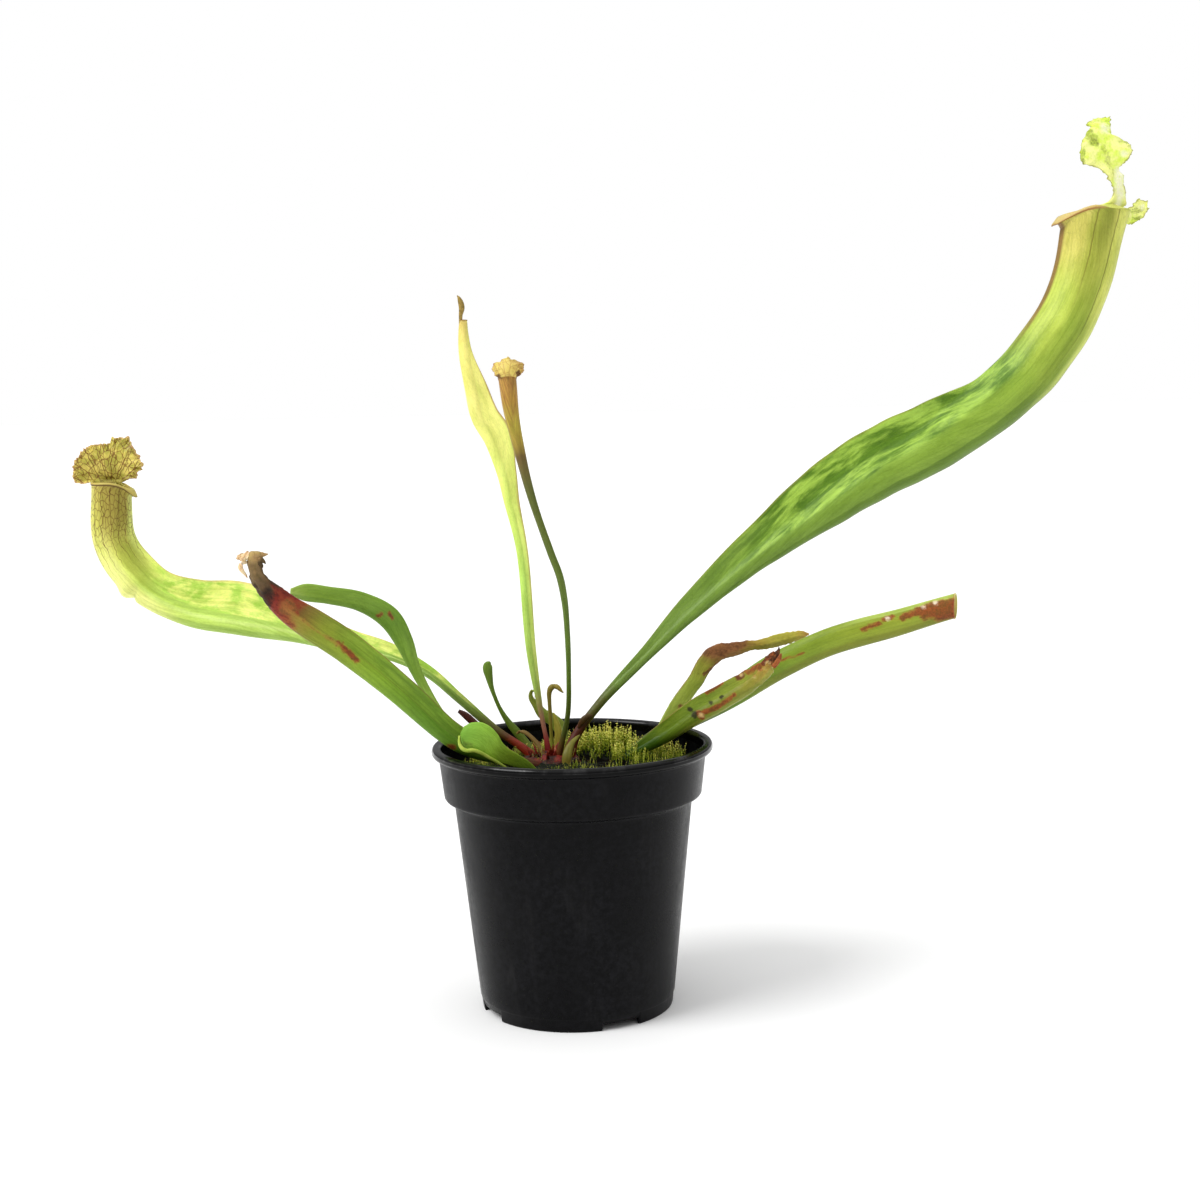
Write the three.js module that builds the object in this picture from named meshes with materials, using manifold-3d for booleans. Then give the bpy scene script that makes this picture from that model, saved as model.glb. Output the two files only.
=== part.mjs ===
// A pitcher plant in a black nursery pot, in millimetres, +Z up.
// The origin is the middle of the pot's foot, on the surface that it stands on.
// X runs to the viewer's right, Y away from the viewer.
import * as THREE from 'three';
import { mergeVertices } from 'three/addons/utils/BufferGeometryUtils.js';
import Module from 'manifold-3d';

const wasm = await Module();
wasm.setup();

// ---------------------------------------------------------------- driving sizes

const SEAT_GAP = 0.3;            // clearance between a piece and what carries it

const POT_HEIGHT = 104.5;
const LIP_RADIUS = 55;           // outer edge of the rolled lip: an 11 cm pot
const LIP_HEIGHT = 4;
const LIP_ROUNDING = 0.7;
const BAND_TOP_RADIUS = 52.2;    // the upright band under the lip
const BAND_FOOT_RADIUS = 50.5;
const BAND_FOOT_Z = 85;
const BAND_CHAMFER = 0.9;
const BODY_TOP_RADIUS = 46.6;    // the tapered body under the band
const BASE_RADIUS = 37.7;
const BASE_STEP_Z = 5;           // the standing ring ends in a fine step at this height
const POT_WALL = 1.1;
const INNER_STEP_Z = [BAND_FOOT_Z - 2.5, BAND_FOOT_Z + 0.6];   // where the inside widens
const POT_SIDES = 36;
const FLOOR_Z = 3;               // underside of the raised floor
const FOOT_RADIUS = 14;          // middle disc of the floor, down on the surface
const DRAIN_HOLES = 8;
const DRAIN_RADIUS = 3.5;
const DRAIN_CIRCLE = 25;
const DRAIN_SIDES = 10;
const NOTCH_WIDTH = 16;          // drainage notches in the standing edge
const NOTCH_HEIGHT = 2.8;
const STANDING_WALL = 6;         // deeper than the standing edge is thick
const NOTCH_TURNS = [26, 116, 206, 296];   // degrees from the front, towards +X

const SOIL_EDGE_Z = 94;
const SOIL_MOUND = 2.5;          // height of the mound round the crown
const SOIL_MOUND_SPREAD = 24;
const SOIL_RIPPLE = 0.35;
const RIPPLE_TURNS = [0.16, 0.19];   // radians of ripple per millimetre along X and Y
const SOIL_RINGS = [0, 0.25, 0.5, 0.75, 0.94];
const GROUND_SECTORS = 32;
const AXIS_RADIUS = 0.05;        // a ring of points never closes quite to the axis
const MOSS_RADIUS = 41;
const MOSS_BAYS = [[3, 3, 0.6], [2, 7, 0]];   // depth, how many round the pot, first turn
const MOSS_SWELLS = [[14, 26, 13, 10, 2.6], [20, -10, 14, 12, 1.4]];   // X, Y, widths, height
const MOSS_EDGE_SHARE = 0.35;    // depth of the moss along its edge
const MOSS_RINGS = 9;
const MOSS_DEPTH = 1.6;
const MOSS_SPIKE = 2.6;
const SOCKET_TOP_Z = 113;        // leaves are clear of the moss above this

const CROWN_MIDDLE = [-9, 7, 94.5];
const CROWN_HALF = [12, 11, 4.6];
const CROWN_HEADROOM = 12;       // the moss keeps back from the crown this far upwards
const CROWN_LUMP = 0.05;         // how lumpy the crown is, as a share of its size
const CUT_TOLERANCE = 0.02;      // detail finer than this is dropped after a cut

const BLADE = 0.8;               // thickness of wings and lids
const BLADE_ROOT = 1.6;          // how much thicker a wing is at its root
const WING_FULL = 2;             // a wing this high has its full blade
const WAVED_WINGS = [1, 6];      // wings are waved from the first height, fully at the second
const WING_WAVES = 3.5;          // waves along a leaf
const LID_RUFFLES = 2.7;         // waves across a lid
const MOUTH_SHARE = 0.9;         // the rim's slant starts at this share of the length
const RIM_BOW = 0.35;            // how much more the spout side of a rim drops
const THROAT = [0.6, 0.35];      // the hollow narrows from this share of its depth, by this much
const TUBE_WALL = 0.9;
const LIP_ROLL = 0.45;           // how far the rolled lip of a mouth stands out
const LID_SEAT = 0.8;            // how deep a lid's root runs into the tube's wall
const NECK_SHARE = 0.3;          // share of a stalked lid that is its neck

const COLOURS = {
  pot: 0x161617,
  peat: 0x1d1712,
  moss: 0x8fa12c,
  crown: 0x7c3a2a,
  green: 0x7fae35,
  lime: 0xb9cf55,
  yellow: 0xd9d86a,
  olive: 0x6c7430,
  rust: 0x8a5a2c,
  tan: 0xa87f45,
};

// ---------------------------------------------------------------- the leaves
// path: [x, y, z, tube radius, wing height] along the tube, from the crown outwards.
// up: the side of the tube that the wing stands on.  flat: depth of the tube over its width.
// open: the mouth, with the length of the hollow behind it, the slant of its rim and its spout.
// lid: a fan on the rim.  from, to: its root along the rim, in degrees from the spout.
//      spread: the directions of its two margins.  reach: its length from margin to margin.
//      stalk: how far its neck rises before the fan opens.  curl: how far it bends back.
//      ruffle: height of its waves.  across, along: how many pieces its grid has.

const LEAVES = {
  pitcher_tall_right: {
    colour: 'green', up: [-1, 0, 1], flat: 0.88, steps: 26, wave: 1.3,
    path: [
      [-2, 9, 95, 1.6, 0], [1, 10, 104, 1.8, 0], [11, 11, 117, 1.6, 0.3], [31, 13, 136, 1.8, 2.3],
      [49, 15, 152, 2.5, 5], [75, 18, 172, 3.9, 8.4], [103, 21, 190, 6.1, 12],
      [125, 24, 203, 7.8, 12.3], [151, 27, 217, 9.5, 8.9], [174, 29, 233, 10.5, 2.4],
      [193, 31, 252, 11.7, 0.8], [207, 33, 276, 11.9, 0], [215, 34, 308, 12.7, 0],
    ],
    open: { depth: 120, slant: 6.3, spout: 1.8 },
    lid: {
      from: 104, to: 168, spread: [155, 55], reach: [14, 17, 20, 22, 24, 25.5, 24, 15, 13.5, 11.5, 7.5],
      stalk: 11.5, curl: 0.35, ruffle: 1, across: 14, along: 5,
    },
    flap: {
      from: 170, to: 215, spread: [30, -25], reach: [8, 10, 9],
      stalk: 0, curl: -0.9, ruffle: 0.8, across: 4, along: 3,
    },
  },
  pitcher_veined_left: {
    colour: 'lime', up: [1, 0, 1], flat: 0.9, steps: 25, wave: 0.8,
    path: [
      [-14, 12, 95, 1.6, 0], [-21, 13, 101, 2, 0], [-30, 14, 107, 1.8, 0.4], [-45, 16, 120, 1.6, 0.9],
      [-57, 18, 130, 1.5, 1.8], [-72, 20, 137, 1.6, 3.8], [-92, 24, 141, 2.1, 6.2],
      [-110, 28, 146, 3.4, 9.4], [-133, 32, 150, 4.6, 12.6], [-153, 35, 154, 5, 10],
      [-168, 37, 161, 5.7, 6.7], [-178, 39, 171, 7.4, 4], [-185, 40, 185, 8, 1.4],
      [-184.5, 40, 206.5, 7.9, 0],
    ],
    open: { depth: 55, slant: 1.2, spout: 1.6 },
    lid: {
      from: 185, to: 60, spread: [180, 8], reach: [6, 10, 14.5, 16.5, 20.5, 14.5, 6.5],
      stalk: 0, curl: 0.3, ruffle: 0.8, across: 12, along: 4,
    },
  },
  pitcher_withered_front: {
    colour: 'olive', up: [1, 0, 1], flat: 0.8, steps: 20, wave: 0.8,
    path: [
      [-13, -1, 95, 1.6, 0], [-20, -5, 97.5, 1.9, 0.6], [-29, -9, 100.5, 2.4, 2.1],
      [-41, -13, 105.5, 2.9, 3.9], [-50, -15, 112, 3, 4], [-66, -19, 128, 3.3, 4.5],
      [-84, -23, 144, 3.7, 4.9], [-98, -27, 155, 3.9, 4.8], [-106, -29, 163, 4.1, 2.1],
      [-112, -31, 171, 3.5, 0], [-115, -32, 176, 2.8, 0], [-114.5, -33, 182, 2.7, 0],
    ],
    lid: {
      from: 200, to: 20, spread: [195, 20], reach: [4.5, 3, 4, 3, 5.5],
      stalk: 0, curl: 0.9, ruffle: 0.9, across: 8, along: 3,
    },
  },
  phyllode_bent_left: {
    colour: 'green', up: [1, 0, 1], flat: 0.3, steps: 18, sides: 8,
    path: [
      [-16, 5, 95, 1.2, 0], [-29, 4, 99.5, 1.1, 0], [-37, 3, 104.5, 1.2, 0], [-49, 2, 114, 1.4, 0],
      [-57, 1, 127, 1.8, 0], [-61, 0, 136, 2.4, 0], [-64.5, -1, 146, 3.7, 0], [-70, -2, 155.5, 4.6, 0],
      [-80, -4, 162, 4, 0], [-92, -6, 165, 3.5, 0], [-101, -7, 166.5, 3.4, 0], [-106.5, -8, 167, 1.2, 0],
    ],
  },
  pitcher_young_yellow: {
    colour: 'yellow', up: [1, 0, 0.4], flat: 0.8, steps: 22, wave: 0.5,
    path: [
      [-9.5, 10.5, 95, 1, 0], [-10, 11, 102, 0.9, 0], [-12, 12, 113, 0.9, 0.2], [-16, 14, 139, 1.4, 1.2],
      [-19, 16, 179, 1.4, 1.8], [-23, 17, 198, 1.7, 2.7], [-25.2, 18, 209, 1.9, 3.9],
      [-29.6, 19, 222, 2.3, 6.9], [-34.2, 20, 231, 2.6, 6.2], [-36.6, 21, 243, 2.6, 4],
      [-39, 22, 256, 2.2, 1.1], [-39, 22, 269.5, 1.7, 0], [-39.2, 22, 271.5, 1, 0],
      [-39.6, 22.3, 280, 0.45, 0],
    ],
  },
  pitcher_hooded_centre: {
    colour: 'olive', up: [0, 1, 0.2], flat: 0.9, steps: 22, sides: 10,
    path: [
      [-6, 4, 95, 1.2, 0], [-5, 3, 100, 1.2, 0], [-1.5, 0, 115, 1.1, 0], [-0.7, -5, 133, 1.1, 0],
      [-1.8, -11, 162, 1.3, 0], [-2.5, -13, 171, 1.6, 0], [-6, -14, 180, 1.6, 0], [-13, -16, 201, 1.6, 0],
      [-18, -18, 223, 2.1, 0], [-20, -18, 233, 2.8, 0], [-21, -18, 246, 3.6, 0],
    ],
    open: { depth: 14, slant: 2, spout: 0.6 },
    lid: {
      from: 115, to: 245, spread: [165, 15], reach: [6, 6.5, 8.5, 6.5, 6],
      stalk: 1.5, curl: 1.2, ruffle: 0.5, across: 8, along: 4,
    },
  },
  pitcher_cut_right: {
    colour: 'green', up: [-1, 0, 1], flat: 0.62, steps: 16, sides: 12,
    path: [
      [22, 17, 92, 2.4, 0], [27, 17, 97.5, 2.9, 0], [33, 17, 102, 3.4, 0], [47, 16, 110, 4.4, 0],
      [67, 14, 121, 5.2, 0], [83, 12, 131, 5.6, 0], [100, 10, 139, 5.7, 0], [115, 8, 144, 5.5, 0],
      [130, 6, 148, 5.1, 0], [151, 3, 154, 4.8, 0],
    ],
    open: { depth: 32, slant: 0, spout: 0 },
  },
  leaf_rusty_right: {
    colour: 'green', up: [-1, 0, 1], flat: 0.8, steps: 14, wave: 0.5,
    path: [
      [27, 8, 92, 1.8, 0], [31, 7, 99, 2.2, 1.6], [38, 5, 105, 2.5, 3.2], [49, 1, 113, 2.7, 3.6],
      [59, -2, 119, 2.8, 3.7], [69, -5, 125, 2.7, 2.9], [75, -7, 131, 2.6, 1.3], [78.5, -8, 136.5, 1.6, 0],
    ],
  },
  leaf_bent_right: {
    colour: 'rust', up: [-1, 0, 1], flat: 0.32, steps: 18, sides: 8,
    path: [
      [31, 23, 92, 1.2, 0], [33, 25, 100, 1.6, 0], [37, 27, 107, 2.4, 0], [42, 29, 113, 2.4, 0],
      [46, 30, 119, 2.2, 0], [51, 31, 126.5, 2.5, 0], [56.5, 32, 132.5, 3.1, 0], [64, 33, 135.5, 2.9, 0],
      [74, 34, 136, 1.8, 0], [82, 34, 137, 1.9, 0], [90, 35, 139, 1.8, 0], [98, 35, 140.5, 0.7, 0],
    ],
  },
  leaf_spoon_front: {
    colour: 'green', up: [0.5, 0, 1], flat: 0.26, steps: 12, sides: 10,
    path: [
      [-13, -13, 93, 1.2, 0], [-16, -17, 98, 1.4, 0], [-23, -22, 101.5, 2.7, 0], [-28, -24, 106, 4.2, 0],
      [-33, -25, 109.5, 5.4, 0], [-38, -26, 111.5, 5.5, 0], [-41, -26, 111.5, 4, 0], [-43, -26, 111, 1.4, 0],
    ],
  },
  shoot_hook_left: {
    colour: 'olive', up: [1, 0, 0], flat: 0.6, steps: 15, sides: 6,
    path: [
      [-18, 18, 94, 1.3, 0], [-19, 19, 101, 1.4, 0], [-23, 20, 106, 1.6, 0], [-26, 20, 110, 1.2, 0],
      [-29, 20, 115, 0.8, 0], [-31, 20, 120, 0.8, 0], [-32.5, 20, 126, 1.2, 0], [-33.2, 20, 131.5, 1.6, 0],
      [-32, 20, 133.4, 1.2, 0], [-30.7, 20, 130, 0.5, 0],
    ],
  },
  shoot_curl_back: {
    colour: 'olive', up: [1, 0, 0], flat: 0.45, steps: 15, sides: 6,
    path: [
      [-4.5, 18, 94, 1.2, 0], [-5, 21, 100, 1.4, 0], [-5, 24, 105, 2.1, 0], [-8, 25, 109, 2.2, 0],
      [-12, 26, 112.5, 2, 0], [-15.2, 26, 116.5, 1.5, 0], [-16.4, 26, 119.6, 0.9, 0],
      [-15.2, 26, 121.6, 0.7, 0], [-13.6, 25.6, 120.2, 0.6, 0], [-14, 25.2, 117.8, 0.5, 0],
    ],
  },
  shoot_hook_centre: {
    colour: 'green', up: [1, 0, 0], flat: 0.9, steps: 15, sides: 6,
    path: [
      [-9, 15.5, 94, 0.8, 0], [-8.2, 16.5, 101, 0.7, 0], [-8.2, 17, 106, 0.7, 0], [-8.3, 17, 111, 0.9, 0],
      [-8.8, 17, 117, 0.7, 0], [-8.6, 17, 122.3, 0.7, 0], [-7.1, 17, 124.5, 0.8, 0],
      [-5.2, 17, 124, 0.9, 0], [-3.4, 17, 121.6, 0.5, 0],
    ],
  },
  shoot_blade_centre: {
    colour: 'yellow', up: [1, 0, 0], flat: 0.45, steps: 8, sides: 6,
    path: [
      [-5.5, 13.5, 94, 0.8, 0], [-5.6, 14.5, 102, 0.9, 0], [-5.2, 15, 106.5, 1.2, 0],
      [-6.1, 15, 110, 1, 0], [-7, 15, 113.6, 0.5, 0],
    ],
  },
  shoot_bract_front: {
    colour: 'lime', up: [1, 0, 0], flat: 0.5, steps: 8, sides: 6,
    path: [
      [-2.2, 0, 94, 1, 0], [-1.9, -1, 99.5, 1.6, 0], [-0.5, -0.6, 102.6, 1.6, 0],
      [1.1, 0, 105, 1, 0], [2.4, 1, 106.6, 0.5, 0],
    ],
  },
  shoot_tan_left: {
    colour: 'tan', up: [1, 0, 0], flat: 0.6, steps: 8, sides: 6,
    path: [
      [-12.5, 4.5, 94, 0.8, 0], [-13.2, 5, 99, 1.1, 0], [-15, 6, 102.5, 1.1, 0],
      [-17.4, 7, 105.5, 0.9, 0], [-19.8, 7.6, 107.4, 0.7, 0], [-21.7, 8, 107.6, 0.5, 0],
    ],
  },
  stub_dead_left: {
    colour: 'crown', up: [1, 0, 1], flat: 0.8, steps: 8, sides: 6,
    path: [
      [-18.5, 9, 94, 1, 0], [-25, 8, 101, 1.1, 0], [-30, 7.5, 105, 1.1, 0], [-38, 7, 112.5, 1.3, 0],
      [-44.5, 7, 117.5, 0.7, 0],
    ],
  },
};

// ---------------------------------------------------------------- geometry helpers

/** Repeatable random numbers from 0 to 1. */
function seededRandom(seed) {
  let state = seed;
  return () => {
    state = (state + 0x6d2b79f5) | 0;
    let mixed = Math.imul(state ^ (state >>> 15), 1 | state);
    mixed = (mixed + Math.imul(mixed ^ (mixed >>> 7), 61 | mixed)) ^ mixed;
    return ((mixed ^ (mixed >>> 14)) >>> 0) / 4294967296;
  };
}

const { degToRad, clamp, lerp, smoothstep } = THREE.MathUtils;

/** A value read between the numbers of a list, at a share of its length. */
function along(list, share) {
  const place = clamp(share, 0, 1) * (list.length - 1);
  const index = Math.min(Math.floor(place), list.length - 2);
  return lerp(list[index], list[index + 1], place - index);
}

/** An indexed geometry from points and faces, with its faces turned outwards. */
function bodyFrom(points, faces) {
  let volume = 0;
  for (const [a, b, c] of faces) {
    volume += points[a].dot(points[b].clone().cross(points[c]));
  }
  const geometry = new THREE.BufferGeometry();
  geometry.setFromPoints(points);
  geometry.setIndex(faces.flatMap(([a, b, c]) => (volume > 0 ? [a, b, c] : [a, c, b])));
  return geometry;
}

/** A closed body through rings of equally many points, capped by a fan at each end. */
function loft(rings) {
  const sides = rings[0].length;
  const points = rings.flat();
  const faces = [];
  for (let ring = 0; ring < rings.length - 1; ring += 1) {
    for (let side = 0; side < sides; side += 1) {
      const here = ring * sides + side;
      const next = ring * sides + ((side + 1) % sides);
      faces.push([here, next, next + sides], [here, next + sides, here + sides]);
    }
  }
  for (const [ring, first] of [[rings[0], 0], [rings.at(-1), (rings.length - 1) * sides]]) {
    const middle = points.length;
    const sum = ring.reduce((total, point) => total.add(point), new THREE.Vector3());
    points.push(sum.divideScalar(sides));
    for (let side = 0; side < sides; side += 1) {
      const face = [first + side, first + ((side + 1) % sides), middle];
      faces.push(first ? face : face.reverse());
    }
  }
  return bodyFrom(points, faces);
}

/** A sheet of even thickness over a grid of points, split alike on both faces. */
function sheet(grid, normal, thickness) {
  const rows = grid.length;
  const columns = grid[0].length;
  const shift = normal.clone().multiplyScalar(thickness / 2);
  const front = grid.flat().map((point) => point.clone().add(shift));
  const back = grid.flat().map((point) => point.clone().sub(shift));
  const points = [...front, ...back];
  const offset = rows * columns;
  const faces = [];
  for (let row = 0; row < rows - 1; row += 1) {
    for (let column = 0; column < columns - 1; column += 1) {
      const here = row * columns + column;
      const above = here + columns;
      faces.push([here, here + 1, above + 1], [here, above + 1, above]);
      faces.push([here + offset, above + 1 + offset, here + 1 + offset]);
      faces.push([here + offset, above + offset, above + 1 + offset]);
    }
  }
  const edge = [];
  for (let column = 0; column < columns - 1; column += 1) edge.push(column);
  for (let row = 0; row < rows - 1; row += 1) edge.push(row * columns + columns - 1);
  for (let column = columns - 1; column > 0; column -= 1) edge.push((rows - 1) * columns + column);
  for (let row = rows - 1; row > 0; row -= 1) edge.push(row * columns);
  edge.forEach((here, index) => {
    const next = edge[(index + 1) % edge.length];
    faces.push([here, here + offset, next + offset], [here, next + offset, next]);
  });
  return bodyFrom(points, faces);
}

/** The solid of a closed geometry. */
function solidOf(geometry) {
  const bare = geometry.clone();
  bare.deleteAttribute('normal');
  bare.deleteAttribute('uv');
  const merged = mergeVertices(bare, 1e-4);
  return new wasm.Manifold(new wasm.Mesh({
    numProp: 3,
    vertProperties: new Float32Array(merged.attributes.position.array),
    triVerts: new Uint32Array(merged.index.array),
  }));
}

/** The largest body of a solid, as a geometry: loose scraps of a cut are dropped. */
function geometryOf(solid) {
  const bodies = solid.decompose().sort((a, b) => b.volume() - a.volume());
  const mesh = bodies[0].getMesh();
  const geometry = new THREE.BufferGeometry();
  geometry.setAttribute('position', new THREE.BufferAttribute(mesh.vertProperties, 3));
  geometry.setIndex(new THREE.BufferAttribute(mesh.triVerts, 1));
  return geometry;
}

// ---------------------------------------------------------------- leaves

const WING_ANGLES = [5, 15, 32];           // section points on one side of the wing, tip to root
const WING_SHARES = [1, 0.45, 0];          // how far out along the wing each of them stands
const TUBE_ANGLES = [64, 98, 132];

/** The angles and wing shares of a section's points, once round from the wing's tip. */
function sectionPlan(leaf) {
  if (leaf.sides) {
    return Array.from({ length: leaf.sides }, (_, side) => [degToRad((360 * side) / leaf.sides), 0]);
  }
  const half = [
    ...WING_ANGLES.map((angle, index) => [degToRad(angle), WING_SHARES[index]]),
    ...TUBE_ANGLES.map((angle) => [degToRad(angle), 0]),
  ];
  const mirrored = half.map(([angle, share]) => [-angle, share]).reverse();
  return [...half, [Math.PI, 0], ...mirrored];
}

/** The centre line and sizes of a leaf, and the frame of its section at a share of its length. */
function leafGuide(leaf) {
  const line = new THREE.CatmullRomCurve3(leaf.path.map(([x, y, z]) => new THREE.Vector3(x, y, z)));
  const sizes = new THREE.CatmullRomCurve3(
    leaf.path.map(([, , , tube, wing]) => new THREE.Vector3(tube, wing, 0)), false, 'catmullrom');
  const up = new THREE.Vector3(...leaf.up).normalize();
  const length = line.getLength();
  return {
    length,
    at(share) {
      const place = line.getUtoTmapping(clamp(share, 0, 1));
      const centre = line.getPoint(place);
      const tangent = line.getTangent(place);
      centre.addScaledVector(tangent, (share - clamp(share, 0, 1)) * length);
      const wingward = up.clone().addScaledVector(tangent, -up.dot(tangent)).normalize();
      const sideways = tangent.clone().cross(wingward);
      const size = sizes.getPoint(place);
      return { centre, tangent, wingward, sideways, tube: size.x, wing: Math.max(size.y, 0) };
    },
  };
}

/** How far the slanted rim of a mouth lies off square, from its back (-1) to its spout (1). */
function rimDrop(leaf, outward) {
  return -leaf.open.slant * (outward + RIM_BOW * outward ** 2);
}

/** One ring of a leaf: round the tube and over the wing, grown outwards by a margin. */
function leafRing(leaf, frame, share, extra = {}) {
  const { margin = 0, widen = 0, spout = 0, bare = false, rise = 0 } = extra;
  const mouth = leaf.open ? smoothstep(share, MOUTH_SHARE, 1) : 0;
  const radius = frame.tube + margin + widen;
  const depth = Math.max(radius * leaf.flat, BLADE / 2 + margin);
  const wing = bare ? 0 : frame.wing;
  const thin = smoothstep(wing, 0, WING_FULL);
  const sway = Math.sin(WING_WAVES * 2 * Math.PI * share);
  const wave = (leaf.wave ?? 0) * smoothstep(wing, ...WAVED_WINGS) * sway;
  return sectionPlan(leaf).map(([angle, wingShare]) => {
    const out = radius * Math.cos(angle) + wing * wingShare + spout * smoothstep(Math.cos(angle), 0.8, 1);
    const round = depth * Math.sin(angle);
    const blade = Math.sign(angle) * (BLADE / 2 + margin) * lerp(BLADE_ROOT, 1, wingShare);
    const side = wingShare ? lerp(round, blade, thin) + wave * wingShare : round;
    const slant = leaf.open ? mouth * rimDrop(leaf, out / frame.tube) : 0;
    return frame.centre.clone()
      .addScaledVector(frame.wingward, out)
      .addScaledVector(frame.sideways, side)
      .addScaledVector(frame.tangent, slant + rise);
  });
}

const FAN_RIGHT = new THREE.Vector3(1, 0, 0);
const FAN_UP = new THREE.Vector3(0, 0, 1);
const FAN_BACK = new THREE.Vector3(0, 1, 0);

/** A fan-shaped lid on the rim of a mouth. */
function lidSheet(leaf, lid, guide) {
  const frame = guide.at(1);
  const grid = [];
  for (let row = 0; row <= lid.along; row += 1) {
    const outward = row / lid.along;
    const points = [];
    for (let column = 0; column <= lid.across; column += 1) {
      const share = column / lid.across;
      const rim = degToRad(lerp(lid.from, lid.to, share));
      const fan = degToRad(lerp(...lid.spread, share));
      const reach = along(lid.reach, share);
      const out = (frame.tube - TUBE_WALL / 2) * Math.cos(rim);
      const drop = leaf.open ? rimDrop(leaf, out / frame.tube) : 0;
      const root = frame.centre.clone()
        .addScaledVector(frame.wingward, out)
        .addScaledVector(frame.sideways, (frame.tube - TUBE_WALL / 2) * leaf.flat * Math.sin(rim))
        .addScaledVector(frame.tangent, drop - LID_SEAT);
      const fanned = lid.stalk ? Math.max(0, (outward - NECK_SHARE) / (1 - NECK_SHARE)) : outward;
      const flatReach = reach * (Math.sin(lid.curl * fanned) / lid.curl);
      const curlBack = reach * ((1 - Math.cos(lid.curl * fanned)) / lid.curl);
      const ruffle = lid.ruffle * fanned * Math.sin(LID_RUFFLES * 2 * Math.PI * share + outward);
      points.push(root
        .addScaledVector(FAN_UP, lid.stalk * Math.min(1, outward / NECK_SHARE))
        .addScaledVector(FAN_RIGHT, flatReach * Math.cos(fan))
        .addScaledVector(FAN_UP, flatReach * Math.sin(fan))
        .addScaledVector(FAN_BACK, curlBack + ruffle));
    }
    grid.push(points);
  }
  return sheet(grid, FAN_BACK, BLADE);
}

/** A whole leaf: tube, wing, lip and lid grown together in one solid. */
function leafSolid(leaf) {
  const guide = leafGuide(leaf);
  const rings = [];
  for (let step = 0; step <= leaf.steps; step += 1) {
    const share = step / leaf.steps;
    rings.push(leafRing(leaf, guide.at(share), share));
  }
  if (leaf.open) {
    const { depth, spout } = leaf.open;
    const rim = guide.at(1);
    rings.push(leafRing(leaf, rim, 1, { widen: LIP_ROLL, spout, rise: LIP_ROLL }));
    rings.push(leafRing(leaf, rim, 1, { spout, rise: 2 * LIP_ROLL }));
    const turns = Math.max(3, Math.round((leaf.steps * depth) / guide.length));
    for (let turn = 0; turn <= turns; turn += 1) {
      const share = 1 - ((turn / turns) * depth) / guide.length;
      const frame = guide.at(share);
      const widen = -TUBE_WALL - THROAT[1] * frame.tube * smoothstep(turn / turns, THROAT[0], 1);
      rings.push(leafRing(leaf, frame, share, { widen, bare: true }));
    }
  }
  let solid = solidOf(loft(rings));
  for (const lid of [leaf.lid, leaf.flap]) {
    if (lid) solid = solid.add(solidOf(lidSheet(leaf, lid, guide)));
  }
  return solid.simplify(CUT_TOLERANCE);
}

/** The room a leaf's foot takes in what it grows out of. */
function leafSocket(leaf) {
  const guide = leafGuide(leaf);
  const rings = [];
  for (let step = 0; step <= leaf.steps; step += 1) {
    const share = step / leaf.steps;
    const frame = guide.at(step ? share : -SEAT_GAP / guide.length);
    rings.push(leafRing(leaf, frame, share, { margin: SEAT_GAP }));
    if (frame.centre.z > SOCKET_TOP_Z) break;
  }
  return solidOf(loft(rings));
}

// ---------------------------------------------------------------- ground

const soilRadius = innerRadius(SOIL_EDGE_Z) - SEAT_GAP;

/** Inside radius of the pot at a height. */
function innerRadius(z) {
  if (z > BAND_FOOT_Z) {
    const rise = (z - BAND_FOOT_Z) / (POT_HEIGHT - LIP_HEIGHT - BAND_FOOT_Z);
    return lerp(BAND_FOOT_RADIUS, BAND_TOP_RADIUS, rise) - POT_WALL;
  }
  return lerp(BASE_RADIUS, BODY_TOP_RADIUS, z / BAND_FOOT_Z) - POT_WALL;
}

/** Height of the soil at a place. */
function soilHeight(x, y) {
  const [crownX, crownY] = CROWN_MIDDLE;
  const away = Math.hypot(x - crownX, y - crownY);
  const mound = SOIL_MOUND * Math.exp(-((away / SOIL_MOUND_SPREAD) ** 2));
  return SOIL_EDGE_Z + mound + SOIL_RIPPLE * Math.sin(x * RIPPLE_TURNS[0]) * Math.cos(y * RIPPLE_TURNS[1]);
}

/** A ring of points round the pot's axis, its radius and height given by functions. */
function groundRing(radiusAt, heightAt) {
  return Array.from({ length: GROUND_SECTORS }, (_, sector) => {
    const turn = (2 * Math.PI * sector) / GROUND_SECTORS;
    const radius = Math.max(radiusAt(turn), AXIS_RADIUS);
    const x = radius * Math.cos(turn);
    const y = radius * Math.sin(turn);
    return new THREE.Vector3(x, y, heightAt(x, y, sector));
  });
}

/** The soil, from the pot's floor up to a mound round the crown. */
function soilSolid() {
  const floorTop = FLOOR_Z + POT_WALL + SEAT_GAP;
  const middle = groundRing(() => 0, () => floorTop);
  const sides = [floorTop, ...INNER_STEP_Z].map((z) => (
    groundRing(() => innerRadius(z) - SEAT_GAP, () => z)));
  const shares = [1, ...[...SOIL_RINGS].reverse()];
  const top = shares.map((share) => groundRing(() => share * soilRadius, soilHeight));
  return solidOf(loft([middle, ...sides, ...top]));
}

/** Edge of the moss at a turn round the pot: it leaves bays of bare soil along the wall. */
function mossEdge(turn) {
  return MOSS_BAYS.reduce((radius, [depth, count, first]) => (
    radius + depth * Math.sin(count * turn + first)), MOSS_RADIUS);
}

/** Depth of the moss at a place: it stands highest behind and beside the right crown. */
function mossDepth(x, y) {
  return MOSS_SWELLS.reduce((depth, [middleX, middleY, widthX, widthY, height]) => (
    depth + height * Math.exp(-(((x - middleX) / widthX) ** 2) - ((y - middleY) / widthY) ** 2)), MOSS_DEPTH);
}

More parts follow.
